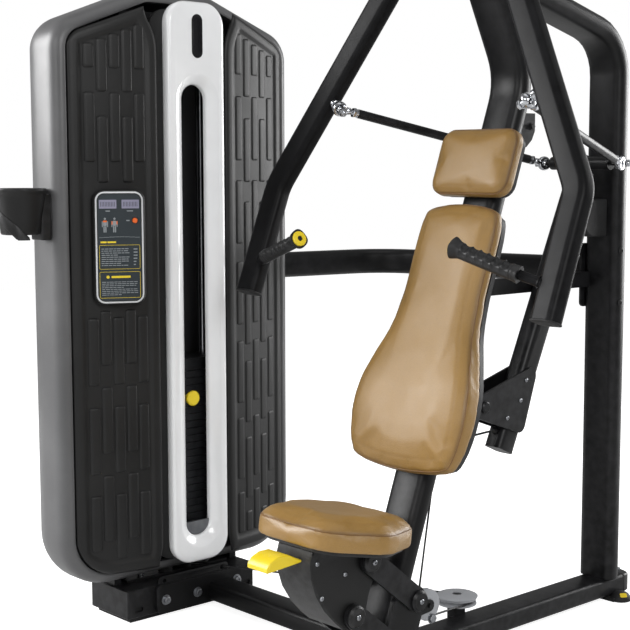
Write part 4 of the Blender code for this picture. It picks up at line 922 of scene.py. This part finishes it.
def cushion(name, made, place, outline, split, body, node, voxel, back):
    """Stuffed cushion on the machine from a closed form in local space, its depth along -y."""
    item = linked(name, made)
    item.modifiers.new("remesh", "REMESH").voxel_size = voxel
    applied(item)
    inflate(item, lambda p: p.y > back - 0.006)
    even = item.modifiers.new("even", "SMOOTH")
    even.factor, even.iterations = 0.5, 3
    item.modifiers.new("finer", "SUBSURF").levels = 1
    mesh = applied(item)
    # Attribute that darkens the vinyl: the welt line at the crease, a faint line along the bevel's inner edge, and
    # painted shade in a wider band along the edges.
    seam_and_edge_shade = mesh.attributes.new("seam_and_edge_shade", "FLOAT", "POINT")
    crease, bevel, swell = split
    normals = [v.normal.copy() for v in mesh.vertices]
    for v, normal in zip(mesh.vertices, normals):
        if v.co.y > back - 0.004:
            continue
        depth = v.co.y + swell(v.co.z)
        edge = outline_distance(outline, v.co.x, v.co.z)
        outer = bell(depth, crease, 0.0022) * bell(edge, 0.0, 0.007)
        inner = bell(edge, bevel, 0.0035) * (1.0 if depth < crease else 0.0)
        # near is painted shade: a soft, wider darker band along the cushion's edges.
        near = bell(depth, crease, 0.010) * bell(edge, 0.0, 0.014)
        seam_and_edge_shade.data[v.index].value = min(1.0, 0.9 * outer + 0.12 * inner + 0.30 * near)
        v.co -= normal * (0.0011 * outer + 0.0004 * inner)
    mesh.transform(place)
    mesh.shade_smooth()
    mesh.materials.clear()
    mesh.materials.append(VINYL)
    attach(item, body)
    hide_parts(node)
    return item


def piping(name, item, points, body):
    """Thin welt laid on the cushion's surface along closed points."""
    mesh = item.data
    tree = BVHTree.FromPolygons([v.co for v in mesh.vertices], [p.vertices for p in mesh.polygons])
    on = [tree.find_nearest(p)[:2] for p in points]
    loops = []
    for i, (spot, normal) in enumerate(on):
        along = (on[(i + 1) % len(on)][0] - on[i - 1][0]).normalized()
        side = along.cross(normal).normalized()
        loops.append([spot + side * a + normal * b for a, b in circle(WELT_R, 8)])
    piece(name, loft(loops, closed=True), WELT, body, smooth=80)


def pads():
    """Back, head and seat cushions, each from its outline and its (crease, bevel, bulge)."""
    rows = [(-0.322, 0.126), (-0.292, 0.158), (-0.225, 0.171), (-0.150, 0.167), (-0.075, 0.146), (-0.010, 0.126),
            (0.070, 0.117), (0.150, 0.117), (0.232, 0.113), (0.266, 0.092)]
    outline = smooth_outline(rows, 0.279, -0.335, 5)
    upholster("back_pad", outline, column_place(0.735), (-0.0390, 0.0290, lumbar), -0.0508, "frame", 0.0065)
    outline = fillet(rect(-0.114, 0.114, -0.079, 0.079, 0.034), 8)
    upholster("head_pad", outline, column_place(1.089), (-0.0385, 0.0175, flat), -0.0520, "frame", 0.0045)
    corners = [(-0.112, -0.146, 0.075), (0.112, -0.146, 0.075), (0.174, -0.015, 0.070), (0.104, 0.124, 0.055),
               (-0.104, 0.124, 0.055), (-0.174, -0.015, 0.070)]
    place = Matrix.Translation((0, -0.075, 0.348)) @ Matrix.Rotation(math.radians(-8), 4, "X")
    place @= Matrix(((1, 0, 0, 0), (0, 0, 1, 0), (0, -1, 0, 0), (0, 0, 0, 1)))
    upholster("seat_pad", fillet(corners, 8), place, (-0.0130, 0.0260, flat), -0.0320, "seat", 0.0055, 0.0280)


def upholster(name, outline, place, split, front, body, voxel, back=-0.0133):
    """Cushion and the welt along its crease."""
    crease, bevel, swell = split
    made = pad_form(outline, back, crease, front, bevel, swell)
    item = cushion(name + "_cushion", made, place, outline, split, body, name, voxel, back)
    ring = [place @ Vector((a, crease - swell(b), b)) for a, b in shrunk(outline, 0.0010)]
    piping(name + "_welt", item, ring, body)


# ---------------------------------------------------------------- arms, grips and rods


def flip(v, side):
    """Point of the left side, or its mirror image for side -1."""
    return Vector((v.x * side, v.y, v.z))


def hand_grip(side, tag):
    """Rubber handle: flared free end, finger scallops on the pulling side, squared root."""
    base, end = flip(GRIP_BASE, side), flip(GRIP_END, side)
    along = (end - base).normalized()
    length = (end - base).length
    forward = Vector((0, -0.55, 0.83))
    u = (forward - along * forward.dot(along)).normalized()
    v = along.cross(u)
    start, stop = 0.0345, length - 0.0022
    loops = []
    for k in range(121):
        t = k / 120
        at = base + along * (start + (stop - start) * t)
        flare = 0.0058 * soft_step((t - 0.88) / 0.12) + 0.0008 * soft_step((0.05 - t) / 0.05)
        grasped = 0.12 < t < 0.86
        finger = abs(math.sin(math.pi * 6 * (t - 0.12) / 0.74)) if grasped else 0.0
        loop = []
        for a in range(36):
            angle = 2 * math.pi * a / 36
            c, s = math.cos(angle), math.sin(angle)
            square = 0.0152 / max(abs(c) ** 3.2 + abs(s) ** 3.2, 1e-6) ** (1 / 3.2)
            scoop = 0.0064 * finger ** 0.7 * max(c, 0.0) ** 0.6 * (1 - 0.30 * abs(s))
            lip = 0.0011 * grasped * bell(abs(angle - math.pi), math.pi - 0.95, 0.14)
            groove = 0.0010 * bell(t, 0.095, 0.008)
            r = square + flare - scoop + lip - groove
            loop.append(at + u * (c * r) + v * (s * r * 0.96))
        loops.append(loop)
    body = "arm_" + tag
    piece("grip_skin_" + tag, loft(loops), GRIP, body, ["grip_" + tag], 50)
    disc = [(0.0020, -0.0040), (0.0168, -0.0040), (0.0168, 0.0006), (0.0160, 0.0016), (0.0145, 0.0020),
            (0.0062, 0.0026), (0.0058, 0.0008), (0.0020, 0.0008)]
    piece("grip_disc_" + tag, lathe(disc, end, along, 40), YELLOW, body, ["grip_cap_" + tag])
    screw = [(0.0054, 0.0010), (0.0054, 0.0024), (0.0046, 0.0030), (0.0022, 0.0030), (0.0020, 0.0018)]
    piece("grip_screw_" + tag, lathe(screw, end, along, 24), RUBBER, body)


def rod_ends(side, tag):
    """Plated spherical ends with lock nuts on the black rod, and the ball stud on the arm."""
    front, rear = flip(ROD_FRONT, side), flip(ROD_REAR, side)
    along = (rear - front).normalized()
    length = (rear - front).length
    stud = flip(STUD_DIR, side)
    body = "rod_" + tag
    profile = [(0.0085, 0.0470), (0.0105, 0.0478), (0.0105, length - 0.0458), (0.0085, length - 0.0450)]
    piece("rod_tube_" + tag, lathe(profile, front, along, 32), BLACK, body, ["press_rod_" + tag])
    neck = [(0.0068, 0.0150), (0.0084, 0.0175), (0.0084, 0.0260), (0.0070, 0.0272), (0.0062, 0.0300), (0.0062, 0.0345)]
    collar = [(0.0092, 0.0405), (0.0098, 0.0412), (0.0098, 0.0468), (0.0088, 0.0475)]
    parts = []
    for at, way, ring, inner in ((front, along, stud, 0.0122), (rear, -along, Vector((1, 0, 0)), 0.0100)):
        lean = (ring - way * ring.dot(way)).normalized()
        profile = [(inner, -0.0065), (0.0150, -0.0068), (0.0170, -0.0040), (0.0174, 0.0), (0.0170, 0.0040),
                   (0.0150, 0.0068), (inner, 0.0065), (inner + 0.0006, 0.0)]
        parts += [lathe(profile, at, lean, 36, closed=True), lathe(neck, at, way, 20)]
        parts += [hexagon(0.0118, 0.0335, 0.0405, at, way), lathe(collar, at, way, 20)]
    piece("rod_ends_" + tag, joined(parts), CHROME, body)
    base = front - stud * STUD_REACH
    profile = [(0.0118, 0.0300), (0.0122, 0.0305), (0.0122, 0.0380), (0.0112, 0.0390), (0.0066, 0.0396),
               (0.0062, 0.0475), (0.0092, 0.0512), (0.0104, STUD_REACH), (0.0092, 0.0598), (0.0060, 0.0635),
               (0.0060, 0.0702)]
    plated = [lathe(profile, base, stud, 28), hexagon(0.0106, 0.0704, 0.0776, base, stud)]
    plated.append(lathe([(0.0056, 0.0775), (0.0056, 0.0796), (0.0044, 0.0806)], base, stud, 18))
    piece("arm_stud_" + tag, joined(plated), CHROME, "arm_" + tag)
    nut = [hexagon(0.0095, 0.0170, 0.0240, rear, (side, 0, 0))]
    nut.append(lathe([(0.0052, 0.0235), (0.0052, 0.0262), (0.0040, 0.0272)], rear, (side, 0, 0), 16))
    piece("bar_nut_" + tag, joined(nut), CHROME, "lever")


def eased(points, radius, steps):
    """Path through points with its inner corners eased."""
    out = [points[0]]
    for before, here, after in zip(points, points[1:], points[2:]):
        a, b = (before - here).normalized(), (after - here).normalized()
        reach = radius * math.tan((math.pi - a.angle(b)) / 2)
        for k in range(steps + 1):
            t = k / steps
            out.append(here + a * (reach * (1 - t) ** 2) + b * (reach * t * t))
    return out + [points[-1]]


def arm_tube(side, tag):
    """Bent rectangular tube with rounded corners, its pivot barrel and the thin bar that carries the grip."""
    path = eased([flip(ARM_TOP, side), flip(ARM_BEND, side), flip(ARM_END, side)], 0.09, 14)
    tube = sweep(fillet(rect(-0.030, 0.030, -0.021, 0.021, 0.014), 7), path, (side, 0, 0.3))
    axis = Vector((SHAFT_X * side, SHAFT_Y, 0)).normalized()
    ring = [(0.0131, -0.0385), (0.0290, -0.0385), (0.0300, -0.0375), (0.0300, 0.0375), (0.0290, 0.0385),
            (0.0131, 0.0385)]
    barrel = lathe(ring, HEAD + axis * 0.0905, axis, 48, closed=True)
    base, end = flip(GRIP_BASE, side), flip(GRIP_END, side)
    start = base + (end - base).normalized() * 0.036
    root = Vector((0.4300 * side, 0.0660, 0.8735))
    reach = (root - start).length
    stub = lathe([(0.0096, 0.0), (0.0100, 0.0006), (0.0100, reach)], start, root - start, 28)
    weld = lathe([(0.0128, 0.0), (0.0118, 0.0016), (0.0104, 0.0034)],
                 flip(Vector((0.4150, 0.0590, 0.8795)), side), start - root, 28)
    made = joined([tube, barrel, stub, weld])
    piece("arm_frame_" + tag, made, ARM_BLACK, "arm_" + tag, ["arm_" + tag])


def arm_end(side, tag):
    """Moulded plug in the tube's lower end with a bevelled lip."""
    low, bend = flip(ARM_END, side), flip(ARM_BEND, side)
    along = (low - bend).normalized()
    across = Vector((side, 0, 0.3)).normalized()
    place = placed(low, along, across) @ Matrix.Rotation(math.radians(90), 4, "Z")
    outline = fillet(rect(-0.0312, 0.0312, -0.0222, 0.0222, 0.0148), 6)
    cap = plate(outline, 0.0004, 0.0042, 0.0014)
    piece("arm_plug_" + tag, moved(cap, place), RUBBER, "arm_" + tag)


def arms():
    for side, tag in ((1, "left"), (-1, "right")):
        arm_tube(side, tag)
        hand_grip(side, tag)
        rod_ends(side, tag)
        arm_end(side, tag)


# ---------------------------------------------------------------- hardware


def cap_screw(spot, direction, radius, height):
    """Socket-head screw on its washer."""
    socket = radius * 0.45
    washer = [(radius * 1.45, 0.0), (radius * 1.5, 0.0003), (radius * 1.5, 0.0012), (radius * 1.1, 0.0014)]
    head = [(radius, 0.0012), (radius, height - 0.0008), (radius - 0.0008, height), (socket, height),
            (socket, height - 0.0026), (0.0004, height - 0.0028)]
    return [lathe(washer, spot, direction), lathe(head, spot, direction)]


def button_screw(spot, direction, radius):
    """Low domed screw with a hexagonal recess."""
    socket = radius * 0.42
    profile = [(radius, 0.0), (radius * 0.96, radius * 0.22), (radius * 0.75, radius * 0.42),
               (radius * 0.5, radius * 0.50), (socket, radius * 0.50), (socket * 0.9, radius * 0.16),
               (0.0003, radius * 0.15)]
    return [lathe(profile, spot, direction)]


def hex_bolt(spot, direction, radius):
    """Hexagon head on its washer."""
    washer = [(radius * 1.15, 0.0), (radius * 1.2, 0.0004), (radius * 1.2, 0.0014), (radius, 0.0016)]
    return [hexagon(radius, 0.0016, 0.0016 + radius * 0.62, spot, direction), lathe(washer, spot, direction)]


def screw_pairs(off, spots, radius):
    """Button screws at (y, z) spots on both sides, off from the middle plane."""
    out = []
    for y, z in spots:
        for side in (-1, 1):
            out += button_screw((side * off, y, z), (side, 0, 0), radius)
    return out


def fasteners():
    """Screws and bolts of the frame, the seat, the arms' pivot and the lever."""
    plated = []
    for y, z in ((-0.077, 0.043), (0.019, 0.0425), (0.143, 0.050)):
        plated += cap_screw((-0.6265, y, z), (1, 0, 0), 0.0085, 0.010)
    plated += hex_bolt((0.0563, 0.1469, 0.1123), (1, 0, 0), 0.0100)
    dark = []
    for z in (0.7633, 0.8926):
        plated += hex_bolt((-0.0566, 0.829, z), (-1, 0, 0), 0.0075)
        dark += button_screw((0.0502, 0.8230, z), (1, 0, 0), 0.0085)
    plated += button_screw((0.0, 0.9120, 0.0580), UP, 0.0070)
    piece("frame_fasteners", joined(plated), STEEL, "frame")
    ends = []
    for side in (-1, 1):
        dark += button_screw((side * 0.0810, 0.829, 0.0), UP, 0.001)
        for y in (-0.150, 0.172):
            dark += button_screw((TW_BACK + 0.0004, TW_Y + side * 0.180, 0.80 + y * 3.2), (-1, 0, 0), 0.0065)
        axis = Vector((SHAFT_X * side, SHAFT_Y, 0.0))
        ends += button_screw(HEAD + axis * 0.1401, axis, 0.0070)
    dark += hex_bolt((0.0389, 0.487, 1.190), (1, 0, 0), 0.0070)
    piece("frame_dark_screws", joined(dark), RUBBER, "frame")
    seat = screw_pairs(0.0556, ((-0.1889, 0.3000), (-0.1117, 0.2634), (-0.176, 0.2250), (-0.0706, 0.2960)), 0.0052)
    seat += screw_pairs(0.0751, ((-0.045, 0.279), (-0.091, 0.171)), 0.0062)
    piece("seat_screws", joined(seat), STEEL, "seat")
    fixed = screw_pairs(0.0751, ((0.097, 0.164), (0.051, 0.056)), 0.0062)
    piece("pivot_screws", joined(fixed), STEEL, "frame")
    piece("pivot_end_screws", joined(ends), STEEL, "frame")
    lever = screw_pairs(0.0304, ((0.425, 0.520), (0.4915, 0.602), (0.4720, 0.5560)), 0.0050)
    piece("lever_screws", joined(lever), STEEL, "lever")


def base_details():
    """Cover plate of the base pulley, the foot's dome with its patch, and the flange's upper plate."""
    cover = [(0.0470, 0.0087), (0.0485, 0.0095), (0.0485, 0.0112), (0.0440, 0.0132), (0.0300, 0.0146),
             (0.0120, 0.0152), (0.0120, 0.0088)]
    disc = lathe(cover, (-0.040, 0.335, 0.091), UP, 48, closed=True)
    piece("base_pulley_cover", disc, PULLEY, "base_wheel")
    profile = [(0.0270, 0.0010), (0.0280, 0.0040), (0.0262, 0.0110), (0.0205, 0.0180), (0.0120, 0.0224),
               (0.0010, 0.0238), (0.0010, 0.0010)]
    domes = [lathe(profile, (side * 0.052, 0.850, 0.0), UP, 32) for side in (-1, 1)]
    piece("rear_foot_domes", joined(domes), RUBBER, "frame")
    patch = plate(fillet(rect(-0.009, 0.009, -0.006, 0.006, 0.003), 4), 0.0, 0.0010, 0.0003)
    at = placed((0.0705, 0.838, 0.0185), (0.60, -0.38, 0.70))
    piece("rear_foot_patch", moved(patch, at), YELLOW, "frame")
    tab = plate(fillet(rect(-0.095, 0.120, 0.0, 0.034, 0.010), 5), 0.0, 0.0035, 0.0006,
                [circle(0.0055, 16, (-0.0765, 0.022)), circle(0.0055, 16, (0.0996, 0.022))])
    turn = Matrix(((0, 0, 1, -0.6348), (1, 0, 0, 0), (0, 1, 0, 0.0670), (0, 0, 0, 1)))
    piece("tower_front_tab", moved(tab, turn), BLACK, "frame")


def taut(name, node, start, end, a):
    """Nylon-coated cable between two points that belong to two bodies joined by a joint."""
    path = [start.lerp(end, k / 24) for k in range(25)]
    made = sweep(circle(CABLE_R, 14), path, Vector((1, 0, 0)))
    item = piece(name, made, CABLE, a, [node])
    bpy.context.view_layer.update()
    world = item.matrix_world.copy()
    item.parent = None
    item.matrix_world = world
    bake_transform(item)


def cables():
    """The pull from the idler to the lever's eye, and the drop from the top pulley to the head plate."""
    idler, eye = Vector((0, 0.2476, 0.4820)), Vector((0, 0.3965, 0.4880))
    taut("cable_pull_line", "cable_pull", idler, eye, "frame")
    top, head_plate = Vector((-0.715, TW_Y, 1.3940)), Vector((-0.715, TW_Y, 0.6486))
    taut("cable_drop_line", "cable_stack", top, head_plate, "frame")


# ---------------------------------------------------------------- stage


def stage():
    """White floor and world for the camera, dim for everything else, and five soft lights."""
    mesh = bpy.data.meshes.new("floor")
    mesh.from_pydata([(-9, -9, 0), (9, -9, 0), (9, 9, 0), (-9, 9, 0)], [], [(0, 1, 2, 3)])
    floor = bpy.data.objects.new("floor", mesh)
    bpy.context.scene.collection.objects.link(floor)
    f = Finish("floor_paper")
    f.set(Base_Color=f.mix(f.noise(2.0, 2.0), srgb(214, 214, 214), srgb(220, 220, 220)), Roughness=0.9)
    seen = f.add("LightPath").outputs["Is Camera Ray"]
    f.set(Emission_Color=(1.0, 1.0, 1.0, 1.0), Emission_Strength=f.span(seen, 0.0, 1.0, 0.04, 0.85))
    mesh.materials.append(f.material)
    world = bpy.data.worlds.new("studio")
    bpy.context.scene.world = world
    world.use_nodes = True
    tree = world.node_tree
    back = tree.nodes["Background"]
    back.inputs["Color"].default_value = (1, 1, 1, 1)
    seen = tree.nodes.new("ShaderNodeLightPath")
    level = tree.nodes.new("ShaderNodeMapRange")
    level.inputs["To Min"].default_value = 0.26
    level.inputs["To Max"].default_value = 1.0
    tree.links.new(seen.outputs["Is Camera Ray"], level.inputs["Value"])
    tree.links.new(level.outputs["Result"], back.inputs["Strength"])
    light("left_panel", (-3.1, -2.6, 2.2), (0, 0, 0.8), 2.4, 185.0)
    light("front_panel", (1.2, -4.6, 2.6), (0, 0, 0.7), 2.4, 50.0)
    light("camera_side_panel", (4.0, -1.4, 2.8), (-0.2, 0, 0.8), 2.0, 85.0)
    light("top_panel", (0.2, 0.2, 4.4), (0, 0, 0.5), 3.4, 22.0)
    light("rear_panel", (0.7, 4.4, 1.5), (-0.4, 0, 0.9), 2.4, 120.0)


def light(name, spot, aim, size, power):
    """Round area light aimed at a point."""
    data = bpy.data.lights.new(name, "AREA")
    data.shape = "DISK"
    data.size = size
    data.energy = power
    item = bpy.data.objects.new(name, data)
    item.location = spot
    item.rotation_mode = "QUATERNION"
    item.rotation_quaternion = (Vector(aim) - Vector(spot)).to_track_quat("-Z", "Y")
    bpy.context.scene.collection.objects.link(item)


def camera():
    """Camera of the photo's view."""
    data = bpy.data.cameras.new("camera")
    data.sensor_width = 36.0
    data.lens = 79.34
    data.shift_x = -0.0457
    data.shift_y = 0.0087
    item = bpy.data.objects.new("camera", data)
    item.location = (2.0966, -2.0098, 1.0964)
    item.rotation_euler = (math.radians(90 - 6.28), 0.0, math.radians(47.13))
    bpy.context.scene.collection.objects.link(item)
    bpy.context.scene.camera = item
    bpy.context.scene.view_settings.view_transform = "Standard"


def main():
    camera()
    dress_cad()
    tower()
    console()
    cup_holder()
    pads()
    arms()
    fasteners()
    base_details()
    cables()
    stage()


main()
